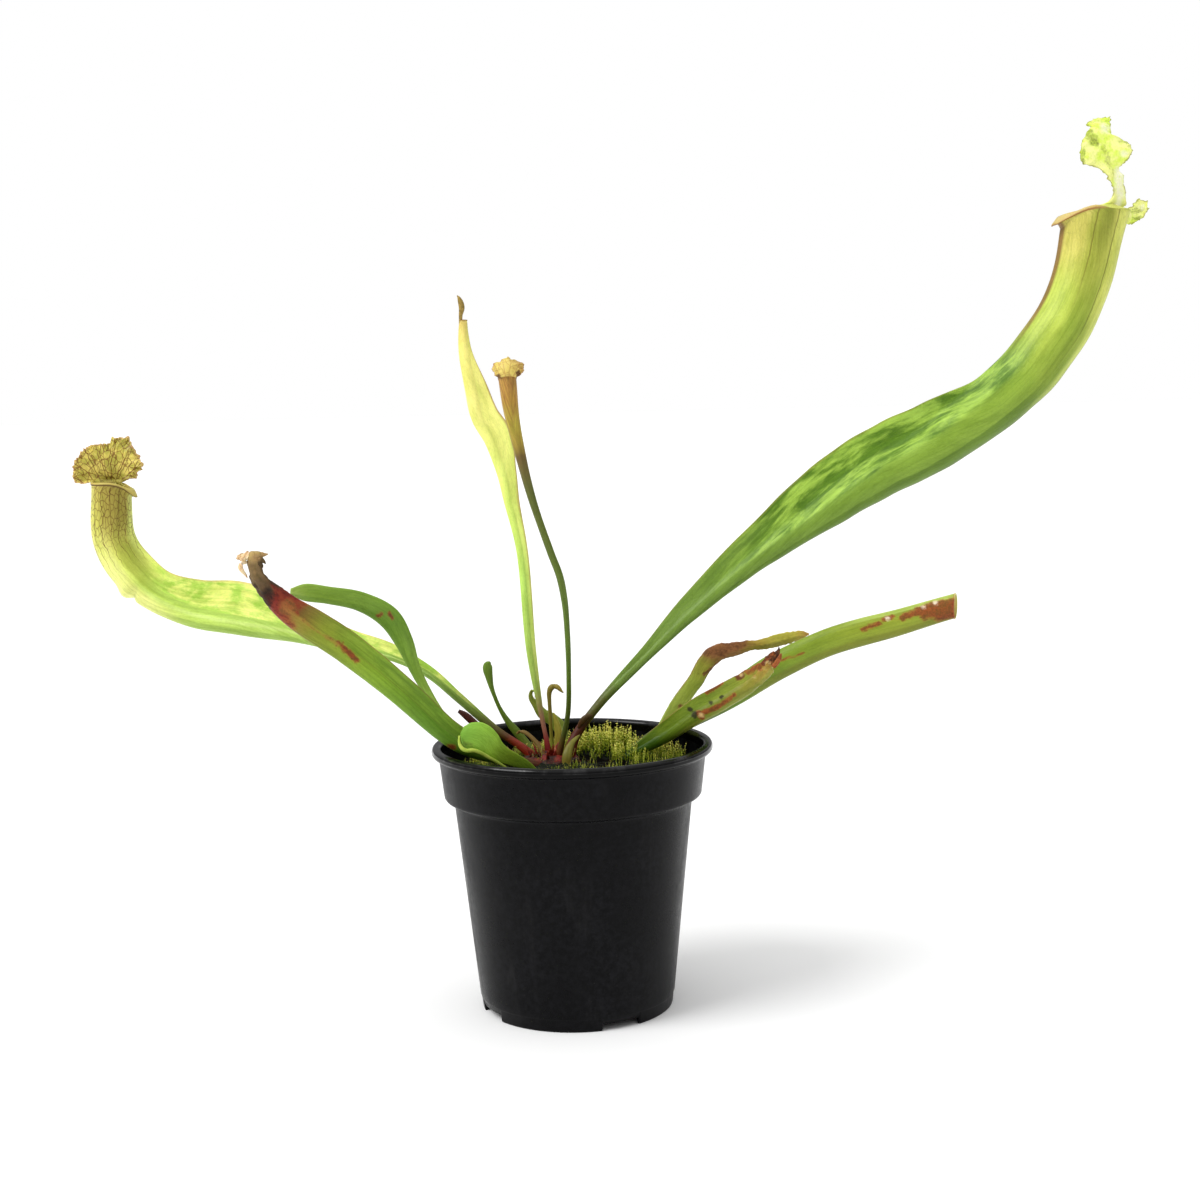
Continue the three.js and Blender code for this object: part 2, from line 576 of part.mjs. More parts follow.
/** The moss: a cushion over the soil whose top is drawn up into tufts. */
function mossSolid() {
  const random = seededRandom(7);
  const bottom = SOIL_RINGS.map((share) => groundRing(
    (turn) => (share / SOIL_RINGS.at(-1)) * mossEdge(turn),
    (x, y) => soilHeight(x, y) + SEAT_GAP));
  const edge = groundRing(mossEdge, (x, y) => (
    soilHeight(x, y) + SEAT_GAP + MOSS_EDGE_SHARE * mossDepth(x, y)));
  const top = [];
  for (let ring = MOSS_RINGS - 1; ring >= 0; ring -= 1) {
    const share = (ring + 0.5) / MOSS_RINGS;
    top.push(groundRing((turn) => share * mossEdge(turn), (x, y, sector) => {
      const tuft = (ring + sector) % 2 && ring > 1 ? MOSS_SPIKE * random() : 0;
      const depth = mossDepth(x, y);
      return soilHeight(x, y) + SEAT_GAP + depth + tuft * (depth / (MOSS_DEPTH + 1));
    }));
  }
  return solidOf(loft([...bottom, edge, ...top]));
}

/** The crown: the lump of old leaf bases that the leaves grow from, or the room that it needs. */
function crownSolid(margin = 0, headroom = 0) {
  const geometry = new THREE.SphereGeometry(1, 14, 8);
  const place = geometry.attributes.position;
  for (let index = 0; index < place.count; index += 1) {
    const point = new THREE.Vector3().fromBufferAttribute(place, index);
    const lump = 1 + CROWN_LUMP * Math.sin(5 * point.x + 1) * Math.cos(4 * point.y);
    const moved = point.toArray().map((value, axis) => (
      CROWN_MIDDLE[axis] + value * (CROWN_HALF[axis] * lump + margin + (axis === 2 ? headroom : 0))));
    place.setXYZ(index, ...moved);
  }
  return solidOf(geometry);
}

// ---------------------------------------------------------------- pot

/** The pot: a thin turned wall with a stepped band, a rolled lip and a raised floor. */
function potSolid() {
  const floorTop = FLOOR_Z + POT_WALL;
  const lipTop = POT_HEIGHT;
  const bandTop = POT_HEIGHT - LIP_HEIGHT;
  const [innerLow, innerHigh] = INNER_STEP_Z;
  const foot = [
    [0, 0], [FOOT_RADIUS, 0], [FOOT_RADIUS + 1.5, FLOOR_Z], [BASE_RADIUS - 2, FLOOR_Z],
    [BASE_RADIUS - 1.4, 0], [BASE_RADIUS - 0.3, 0], [BASE_RADIUS, 0.8],
    [BASE_RADIUS + 0.5, BASE_STEP_Z], [BASE_RADIUS + 0.8, BASE_STEP_Z + 0.4],
  ];
  const band = [
    [BODY_TOP_RADIUS, BAND_FOOT_Z - 3], [BODY_TOP_RADIUS + 0.8, BAND_FOOT_Z - 2 * BAND_CHAMFER],
    [BAND_FOOT_RADIUS - 0.6, BAND_FOOT_Z - BAND_CHAMFER], [BAND_FOOT_RADIUS, BAND_FOOT_Z + 0.4],
    [BAND_TOP_RADIUS, bandTop],
  ];
  const lip = [
    [LIP_RADIUS - LIP_ROUNDING, bandTop + LIP_ROUNDING], [LIP_RADIUS, bandTop + 1.8],
    [LIP_RADIUS - 0.2, lipTop - LIP_ROUNDING], [LIP_RADIUS - 1, lipTop],
    [BAND_TOP_RADIUS - 0.4, lipTop - 0.2], [BAND_TOP_RADIUS - POT_WALL - 0.1, lipTop - 1.2],
  ];
  const inside = [
    ...[bandTop, innerHigh, innerLow, floorTop].map((z) => [innerRadius(z), z]),
    [FOOT_RADIUS + 0.8, floorTop], [FOOT_RADIUS - 0.8, POT_WALL], [0, POT_WALL],
  ];
  const profile = [...foot, ...band, ...lip, ...inside].map(([radius, z]) => new THREE.Vector2(radius, z));
  let solid = solidOf(new THREE.LatheGeometry(profile, POT_SIDES).rotateX(Math.PI / 2));
  for (let hole = 0; hole < DRAIN_HOLES; hole += 1) {
    const turn = (2 * Math.PI * (hole + 0.5)) / DRAIN_HOLES;
    const drill = new THREE.CylinderGeometry(DRAIN_RADIUS, DRAIN_RADIUS, 3 * POT_WALL, DRAIN_SIDES);
    drill.rotateX(Math.PI / 2);
    drill.translate(DRAIN_CIRCLE * Math.cos(turn), DRAIN_CIRCLE * Math.sin(turn), FLOOR_Z + POT_WALL / 2);
    solid = solid.subtract(solidOf(drill));
  }
  for (const turn of NOTCH_TURNS) {
    const notch = new THREE.BoxGeometry(NOTCH_WIDTH, STANDING_WALL, 2 * NOTCH_HEIGHT);
    notch.translate(0, -BASE_RADIUS, 0).rotateZ(degToRad(turn));
    solid = solid.subtract(solidOf(notch));
  }
  return solid;
}

// ---------------------------------------------------------------- assembly

const plant = new THREE.Group();
plant.name = 'potted_pitcher_plant';

/** Adds one named piece to the plant. */
function addPiece(name, solid, colour, roughness = 0.6) {
  const material = new THREE.MeshStandardMaterial({ color: COLOURS[colour], roughness, metalness: 0 });
  const mesh = new THREE.Mesh(geometryOf(solid), material);
  mesh.name = name;
  plant.add(mesh);
}

const sockets = Object.values(LEAVES).map(leafSocket);

/** A solid less the rooms that other pieces take in it. */
function cutBy(solid, rooms) {
  return rooms.reduce((rest, room) => rest.subtract(room), solid).simplify(CUT_TOLERANCE);
}

addPiece('pot', potSolid(), 'pot', 0.35);
addPiece('soil', cutBy(soilSolid(), [crownSolid(SEAT_GAP), ...sockets]), 'peat', 0.95);
addPiece('moss', cutBy(mossSolid(), [crownSolid(SEAT_GAP, CROWN_HEADROOM), ...sockets]), 'moss', 0.95);
addPiece('crown', cutBy(crownSolid(), sockets), 'crown', 0.7);
for (const [name, leaf] of Object.entries(LEAVES)) {
  addPiece(name, leafSolid(leaf), leaf.colour, 0.45);
}

export default plant;
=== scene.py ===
"""Looks of a potted pitcher plant: leaves, crown, moss, peat and pot.

Sizes in the dataclasses are millimetres; a mesh is turned to metres as it is made.
"""

from __future__ import annotations

import logging
import math
from dataclasses import dataclass, field
from enum import Enum
from typing import Optional, Sequence, Union

import bpy
import numpy as np
from mathutils import Matrix, Vector

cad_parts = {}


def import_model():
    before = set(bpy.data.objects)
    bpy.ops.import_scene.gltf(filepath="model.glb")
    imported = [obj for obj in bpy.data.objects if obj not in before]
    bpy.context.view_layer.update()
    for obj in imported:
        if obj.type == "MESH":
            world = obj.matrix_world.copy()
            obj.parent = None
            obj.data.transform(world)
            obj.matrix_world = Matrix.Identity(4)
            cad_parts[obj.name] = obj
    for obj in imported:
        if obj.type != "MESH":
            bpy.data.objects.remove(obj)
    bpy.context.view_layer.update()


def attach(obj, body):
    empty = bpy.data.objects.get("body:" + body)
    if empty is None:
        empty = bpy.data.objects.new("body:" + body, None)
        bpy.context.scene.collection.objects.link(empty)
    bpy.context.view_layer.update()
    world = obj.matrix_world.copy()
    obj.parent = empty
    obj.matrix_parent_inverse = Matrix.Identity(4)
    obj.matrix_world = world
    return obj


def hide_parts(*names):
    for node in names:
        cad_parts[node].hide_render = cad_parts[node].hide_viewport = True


LOG = logging.getLogger("pitcher_plant")
MM = 0.001
BODY = "root"
Colour = tuple[float, float, float]
Point = tuple[float, float, float]
Stops = Sequence[tuple[float, Colour]]
Array = np.ndarray
Piece = bpy.types.Object
Material = bpy.types.Material
Socket = bpy.types.NodeSocket


def rgb(red: float, green: float, blue: float) -> Colour:
    """Turns a display colour, each part 0 to 255, into the linear colour that shaders use."""
    shares = [value / 255 for value in (red, green, blue)]
    return tuple(s / 12.92 if s <= 0.04045 else ((s + 0.055) / 1.055) ** 2.4 for s in shares)


def tones(*stops: tuple[float, float, float, float]) -> Stops:
    """Stops of a ramp, from places and display colours."""
    return tuple((place, rgb(*colour)) for place, *colour in stops)


def smooth(value: Array, low: float, high: float) -> Array:
    """Rises smoothly from 0 at low to 1 at high."""
    share = np.clip((np.asarray(value, float) - low) / (high - low), 0, 1)
    return share * share * (3 - 2 * share)


def spline(points: Array, places: Array, centripetal: bool = True) -> Array:
    """Reads a Catmull-Rom curve through points.

    Args:
        points: The points, one a row.
        places: Places on the curve, from 0 to the number of points less 1.
        centripetal: Whether the curve is eased by the distances between its points.

    Returns:
        One point a place.
    """
    padded = np.vstack([2 * points[0] - points[1], points, 2 * points[-1] - points[-2]])
    index = np.clip(np.floor(places).astype(int), 0, len(points) - 2)
    share = (places - index)[:, None]
    before, start, end, after = (padded[index + step] for step in range(4))
    leave, arrive = (end - before) / 2, (after - start) / 2
    if centripetal:
        gaps = [np.linalg.norm(b - a, axis=1)[:, None] ** 0.5
                for a, b in ((before, start), (start, end), (end, after))]
        first, middle, last = (np.maximum(gap, 1e-3) for gap in gaps)
        leave = middle * ((start - before) / first - (end - before) / (first + middle)
                          + (end - start) / middle)
        arrive = middle * ((end - start) / middle - (after - start) / (middle + last)
                           + (after - end) / last)
    square = -3 * start + 3 * end - 2 * leave - arrive
    cube = 2 * start - 2 * end + leave + arrive
    return start + leave * share + square * share**2 + cube * share**3


class Ripple:
    """Smooth, repeatable unevenness in space."""

    waves = 9

    def __init__(self, seed: int, size: float) -> None:
        """Draws the waves.

        Args:
            seed: Seed of the draw.
            size: Length of a typical wave, in millimetres.
        """
        random = np.random.default_rng(seed)
        self.turns = random.normal(size=(self.waves, 3)) * (2 * math.pi / size) / math.sqrt(3)
        self.phases = random.uniform(0, 2 * math.pi, self.waves)

    def at(self, points: Array) -> Array:
        """Reads the unevenness, mostly between -1 and 1, at points in the array's last axis."""
        return np.sin(points @ self.turns.T + self.phases).sum(-1) / math.sqrt(self.waves)


# ---------------------------------------------------------------- meshes

VALUES = ("share", "turn", "wing", "lid", "edge", "inner", "lip", "hem", "rust", "red", "dark", "pale")


class Shell:
    """Collects the points, faces and point values of one piece."""

    def __init__(self) -> None:
        """Starts empty."""
        self.points: list[Array] = []
        self.faces: list[Array] = []
        self.skins: list[Array] = []
        self.values: dict[str, list[Array]] = {name: [] for name in VALUES}
        self.count = 0

    def add(self, points: Array, faces: Array, skin: Optional[Array] = None,
            **values: Union[float, Array]) -> None:
        """Adds one closed body, with its faces turned outwards.

        Args:
            points: The points in millimetres, one a row.
            faces: Four point numbers a row; the last repeats the first on a triangle.
            skin: Place of each point on the surface, in millimetres round and along.
            **values: Point values by name; those left out are 0.
        """
        corners = points[faces]
        fans = [(corners[:, 0], corners[:, 1], corners[:, 2]),
                (corners[:, 0], corners[:, 2], corners[:, 3])]
        volume = sum(np.einsum("ij,ij->", a, np.cross(b, c)) for a, b, c in fans)
        turned = faces if volume > 0 else faces[:, ::-1]
        self.points.append(points)
        self.faces.append(turned + self.count)
        self.skins.append(points.copy() if skin is None else skin)
        for name in VALUES:
            value = np.asarray(values.get(name, 0.0), float)
            self.values[name].append(np.broadcast_to(value, (len(points),)))
        self.count += len(points)

    def tube(self, grid: Array, **values: Union[float, Array]) -> None:
        """Adds a closed tube from its rings."""
        self.add(capped(grid), tube_faces(*grid.shape[:2]), **values)

    def build(self, name: str, material: Material) -> Piece:
        """Makes the object, smooth shaded, with its point values as attributes.

        Args:
            name: Its name.
            material: Its material.

        Returns:
            The object.
        """
        made = mesh_object(name, np.vstack(self.points) * MM, np.vstack(self.faces))
        mesh = made.data
        mesh.polygons.foreach_set("use_smooth", [True] * len(mesh.polygons))
        for value_name, parts in self.values.items():
            joined = np.concatenate(parts).astype(np.float32)
            if joined.any():
                store(mesh, value_name, joined)
        layer = mesh.attributes.new("skin", "FLOAT_VECTOR", "POINT")
        layer.data.foreach_set("vector", np.vstack(self.skins).astype(np.float32).ravel())
        mesh.materials.append(material)
        return made


def store(mesh: bpy.types.Mesh, name: str, values: Array) -> None:
    """Keeps one number a point on a mesh, as a named attribute."""
    layer = mesh.attributes.new(name, "FLOAT", "POINT")
    layer.data.foreach_set("value", np.asarray(values, np.float32))


def circle(sides: int) -> Array:
    """Turns of a circle's points, in radians."""
    return np.linspace(0, 2 * math.pi, sides + 1)[:-1]


def on_ground(x: Array, y: Array) -> Array:
    """Places to the right and backwards, as points at height 0."""
    return np.stack([x, y, np.zeros_like(x)], -1)


def link(name: str, data: bpy.types.ID) -> Piece:
    """Adds an object to the scene.

    Args:
        name: Its name.
        data: Its mesh, light or camera.

    Returns:
        The object.
    """
    made = bpy.data.objects.new(name, data)
    bpy.context.scene.collection.objects.link(made)
    return made


def mesh_object(name: str, points: Array, faces: Array) -> Piece:
    """Adds an object with a mesh.

    Args:
        name: Its name.
        points: The points in metres, one a row.
        faces: Point numbers, a face a row; a repeated one counts once.

    Returns:
        The object.
    """
    mesh = bpy.data.meshes.new(name)
    rows = [list(dict.fromkeys(row)) for row in np.asarray(faces).tolist()]
    mesh.from_pydata(np.asarray(points, float).tolist(), [], rows)
    return link(name, mesh)


def capped(grid: Array) -> Array:
    """The points of a tube's rings, then the middles of its two ends."""
    return np.vstack([grid.reshape(-1, grid.shape[-1]), grid[0].mean(0), grid[-1].mean(0)])


def tube_faces(rings: int, sides: int) -> Array:
    """Faces of a closed tube, whose points are its rings' and then the middles of its ends.

    Args:
        rings: How many rings there are.
        sides: How many points a ring has.

    Returns:
        The faces.
    """
    ring = np.arange(rings - 1)[:, None] * sides
    side = np.arange(sides)[None, :]
    following = (side + 1) % sides
    wall = np.stack([ring + side, ring + following, ring + sides + following, ring + sides + side], -1)
    side, following = side[0], following[0]
    low = np.full(sides, rings * sides)
    first = np.stack([following, side, low, following], -1)
    top = (rings - 1) * sides
    last = np.stack([top + side, top + following, low + 1, top + side], -1)
    return np.vstack([wall.reshape(-1, 4), first, last])


def sheet_faces(rows: int, columns: int) -> Array:
    """Faces of a thin closed sheet: a front grid, a back grid and the edge between them.

    Args:
        rows: Points up the sheet.
        columns: Points across it.

    Returns:
        The faces; the back grid's points follow the front grid's.
    """
    row = np.arange(rows - 1)[:, None] * columns
    column = np.arange(columns - 1)[None, :]
    front = np.stack([row + column, row + column + 1, row + columns + column + 1,
                      row + columns + column], -1).reshape(-1, 4)
    back = front[:, ::-1] + rows * columns
    rim = np.concatenate([
        np.arange(columns - 1), np.arange(rows - 1) * columns + columns - 1,
        (rows - 1) * columns + np.arange(columns - 1, 0, -1), np.arange(rows - 1, 0, -1) * columns])
    following = np.roll(rim, -1)
    offset = rows * columns
    edge = np.stack([following, rim, rim + offset, following + offset], -1)
    return np.vstack([front, back, edge])


def finish_piece(piece: Piece, slot: str, *nodes: str) -> Piece:
    """Lets a piece ride on the body and stands it for its nodes.

    Args:
        piece: The piece.
        slot: The record's material slot; not used.
        *nodes: The nodes it stands for.

    Returns:
        The piece.
    """
    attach(piece, BODY)
    if nodes:
        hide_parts(*nodes)
    LOG.info("%s: %d faces", piece.name, len(piece.data.polygons))
    return piece


# ---------------------------------------------------------------- shaders

Number = Union[float, "Value"]


class Value:
    """A number in a node tree, with arithmetic."""

    def __init__(self, graph: "Graph", socket: Socket) -> None:
        """Wraps the output of a graph's node."""
        self.graph = graph
        self.socket = socket

    def __add__(self, other: Number) -> "Value":
        """This number plus another."""
        return self.graph.math("ADD", self, other)

    def __sub__(self, other: Number) -> "Value":
        """This number less another."""
        return self.graph.math("SUBTRACT", self, other)

    def __rsub__(self, other: Number) -> "Value":
        """Another number less this one."""
        return self.graph.math("SUBTRACT", other, self)

    def __mul__(self, other: Number) -> "Value":
        """This number times another."""
        return self.graph.math("MULTIPLY", self, other)

    def __truediv__(self, other: Number) -> "Value":
        """This number over another."""
        return self.graph.math("DIVIDE", self, other)

    __radd__ = __add__
    __rmul__ = __mul__


class Graph:
    """Adds nodes to a node tree."""

    def __init__(self, tree: bpy.types.NodeTree) -> None:
        """Takes the tree."""
        self.tree = tree

    def feed(self, socket: Socket, value: object) -> None:
        """Links or sets one input.

        Args:
            socket: The input.
            value: A Value, an output socket, or what the input is set to.
        """
        source = value.socket if isinstance(value, Value) else value
        if isinstance(source, Socket):
            self.tree.links.new(source, socket)
        elif socket.type == "RGBA" and len(value) == 3:
            socket.default_value = (*value, 1)
        else:
            socket.default_value = value

    def node(self, kind: str, settings: Optional[dict] = None,
             inputs: Optional[dict] = None) -> bpy.types.Node:
        """Adds a node.

        Args:
            kind: The node's type.
            settings: Its settings, set first; "stops" are a ramp's places and colours.
            inputs: Values or links by the input's name or number.

        Returns:
            The node.
        """
        made = self.tree.nodes.new(kind)
        for key, value in (settings or {}).items():
            if key == "stops":
                self.set_stops(made.color_ramp.elements, value)
            else:
                setattr(made, key, value)
        for key, value in (inputs or {}).items():
            self.feed(made.inputs[key], value)
        return made

    @staticmethod
    def set_stops(elements: bpy.types.ColorRampElements, stops: Stops) -> None:
        """Sets a ramp's stops.

        Args:
            elements: The ramp's elements.
            stops: Places from 0 to 1 and their colours.
        """
        while len(elements) < len(stops):
            elements.new(0.5)
        for element, (place, colour) in zip(elements, stops):
            element.position = place
            element.color = (*colour, 1)

    def math(self, operation: str, *terms: Number) -> Value:
        """A Math node on one to three numbers."""
        made = self.node("ShaderNodeMath", {"operation": operation}, dict(enumerate(terms)))
        return Value(self, made.outputs[0])

    def vector(self, operation: str, inputs: dict) -> Socket:
        """A Vector Math node."""
        return self.node("ShaderNodeVectorMath", {"operation": operation}, inputs).outputs[0]


class Shader(Graph):
    """Builds one material, or the light of the surroundings."""

    def __init__(self, name: str, world: bool = False) -> None:
        """Starts empty.

        Args:
            name: The material's or the world's name.
            world: Whether it is a world.
        """
        self.owner = bpy.data.worlds.new(name) if world else bpy.data.materials.new(name)
        self.owner.use_nodes = True
        super().__init__(self.owner.node_tree)
        self.tree.nodes.clear()

    def read(self, name: str) -> Value:
        """Reads a point value of the mesh."""
        return Value(self, self.node("ShaderNodeAttribute", {"attribute_name": name}).outputs["Fac"])

    def part(self, axis: str, place: Socket) -> Value:
        """One coordinate of a vector."""
        return Value(self, self.node("ShaderNodeSeparateXYZ", {}, {0: place}).outputs[axis])

    def skin_place(self) -> Socket:
        """The place on the surface, in millimetres round and along."""
        return self.node("ShaderNodeAttribute", {"attribute_name": "skin"}).outputs["Vector"]

    def skin(self, round_size: float = 1.0, along_size: float = 1.0) -> Socket:
        """The place on the surface, over a pattern's size round the leaf and along it."""
        place, sizes = self.skin_place(), (round_size, along_size, round_size)
        return self.vector("MULTIPLY", {0: place, 1: tuple(1 / size for size in sizes)})

    def space(self, size: float) -> Socket:
        """The place in the frame, in units of a pattern's size in millimetres."""
        place = self.node("ShaderNodeTexCoord").outputs["Object"]
        return self.vector("SCALE", {0: place, "Scale": 1 / (size * MM)})

    def stretched(self, size: float, squeeze: float) -> Socket:
        """The place in units of a pattern's size, with its height squeezed so that patterns run down."""
        return self.vector("MULTIPLY", {0: self.space(size), 1: (1.0, 1.0, squeeze)})

    def height(self) -> Value:
        """Height in the frame, in millimetres."""
        return self.part("Z", self.space(1.0))

    def noise(self, place: Socket, detail: float = 3, roughness: float = 0.55,
              distortion: float = 0.0) -> Value:
        """Soft noise from 0 to 1.

        Args:
            place: Where it is read.
            detail: How many octaves it has.
            roughness: How strong the finer ones are.
            distortion: How much it is twisted.

        Returns:
            The noise.
        """
        made = self.node("ShaderNodeTexNoise", {"noise_dimensions": "3D"}, {
            "Vector": place, "Scale": 1.0, "Detail": detail, "Roughness": roughness,
            "Distortion": distortion})
        return Value(self, made.outputs["Fac"])

    def cells(self, place: Socket, wobble: float = 0.25, kind: str = "2D") -> Value:
        """Distance to the edge of the cells of a net, 0 on its threads.

        Args:
            place: Where it is read, in units of a cell.
            wobble: How far the threads stray.
            kind: "2D" for a net on the skin, "3D" for one in space.

        Returns:
            The distance, in units of a cell.
        """
        stray = self.node("ShaderNodeTexNoise", {"noise_dimensions": "3D"},
                          {"Vector": place, "Scale": 1.7, "Detail": 2.0}).outputs["Color"]
        centred = self.vector("SUBTRACT", {0: stray, 1: (0.5, 0.5, 0.5)})
        moved = self.vector("MULTIPLY_ADD", {0: centred, 1: (wobble, wobble, wobble), 2: place})
        made = self.node("ShaderNodeTexVoronoi",
                         {"voronoi_dimensions": kind, "feature": "DISTANCE_TO_EDGE"},
                         {"Vector": moved, "Scale": 1.0})
        return Value(self, made.outputs["Distance"])

    def threads(self, spacing: float, stray: float, thickness: float, widen: Number = 1.0) -> Value:
        """Long wandering veins of even thickness.

        Args:
            spacing: Distance between veins, in millimetres round the leaf.
            stray: How far they wander, in spacings.
            thickness: Half their thickness, in millimetres.
            widen: How much wider the leaf is than its skin says.

        Returns:
            1 on the veins.
        """
        across = self.part("X", self.skin_place())
        wander = self.noise(self.skin(2.2 * spacing, 9), 3) - 0.5
        off = self.math("ABSOLUTE", self.math("FRACT", across / spacing + wander * stray) - 0.5)
        return self.grade(off * widen, thickness / spacing, 0.35 * thickness / spacing)

    def grade(self, value: Number, low: float, high: float) -> Value:
        """Grades a number smoothly from 0 at low to 1 at high, which may be below low."""
        made = self.node("ShaderNodeMapRange", {"interpolation_type": "SMOOTHSTEP"}, {
            "Value": value, "From Min": low, "From Max": high, "To Min": 0.0, "To Max": 1.0})
        return Value(self, made.outputs["Result"])

    def between(self, value: Value, low: float, high: float, soft: float) -> Value:
        """1 between two limits, with sides of a soft width."""
        return self.grade(value, low - soft, low + soft) * self.grade(value, high + soft, high - soft)

    def ramp(self, value: Number, stops: Stops) -> Socket:
        """A colour read along stops."""
        return self.node("ShaderNodeValToRGB", {"stops": stops}, {"Fac": value}).outputs["Color"]

    def mix(self, first: object, second: object, factor: Number, blend: str = "MIX") -> Socket:
        """Mixes two colours: the first shows at factor 0, the second at 1."""
        settings = {"data_type": "RGBA", "blend_type": blend}
        return self.node("ShaderNodeMix", settings, {0: factor, 6: first, 7: second}).outputs[2]

    def bump(self, height: Number, distance: float, strength: float = 1.0) -> Socket:
        """A normal from a height of 0 to 1 and its size in millimetres."""
        inputs = {"Height": height, "Distance": distance * MM, "Strength": strength}
        return self.node("ShaderNodeBump", {}, inputs).outputs["Normal"]

    def surface(self, **inputs: object) -> Material:
        """Ends the shader in a Principled surface.

        Args:
            **inputs: Its inputs, with _ for a space.

        Returns:
            The material.
        """
        named = {key.replace("_", " "): value for key, value in inputs.items()}
        body = self.node("ShaderNodeBsdfPrincipled", {}, named)
        self.node("ShaderNodeOutputMaterial", {}, {"Surface": body.outputs["BSDF"]})
        return self.owner


# ---------------------------------------------------------------- leaf finishes


@dataclass(frozen=True)
class Band:
    """A lengthwise band of colour on a leaf.

    turns run round the tube, from its wing at 0 to its far side at 1, and shares along it.
    """

    colour: Colour
    turns: tuple[float, float]
    shares: tuple[float, float] = (-1.0, 2.0)
    strength: float = 1.0
    soft: float = 0.03
    fade: float = 0.06

    def lay(self, sh: Shader, under: Socket, turn: Value, share: Value) -> Socket:
        """Lays the band over a colour, at a turn round the tube and a share of its length."""
        mask = sh.between(turn, *self.turns, self.soft) * sh.between(share, *self.shares, self.fade)
        return sh.mix(under, self.colour, mask * self.strength)


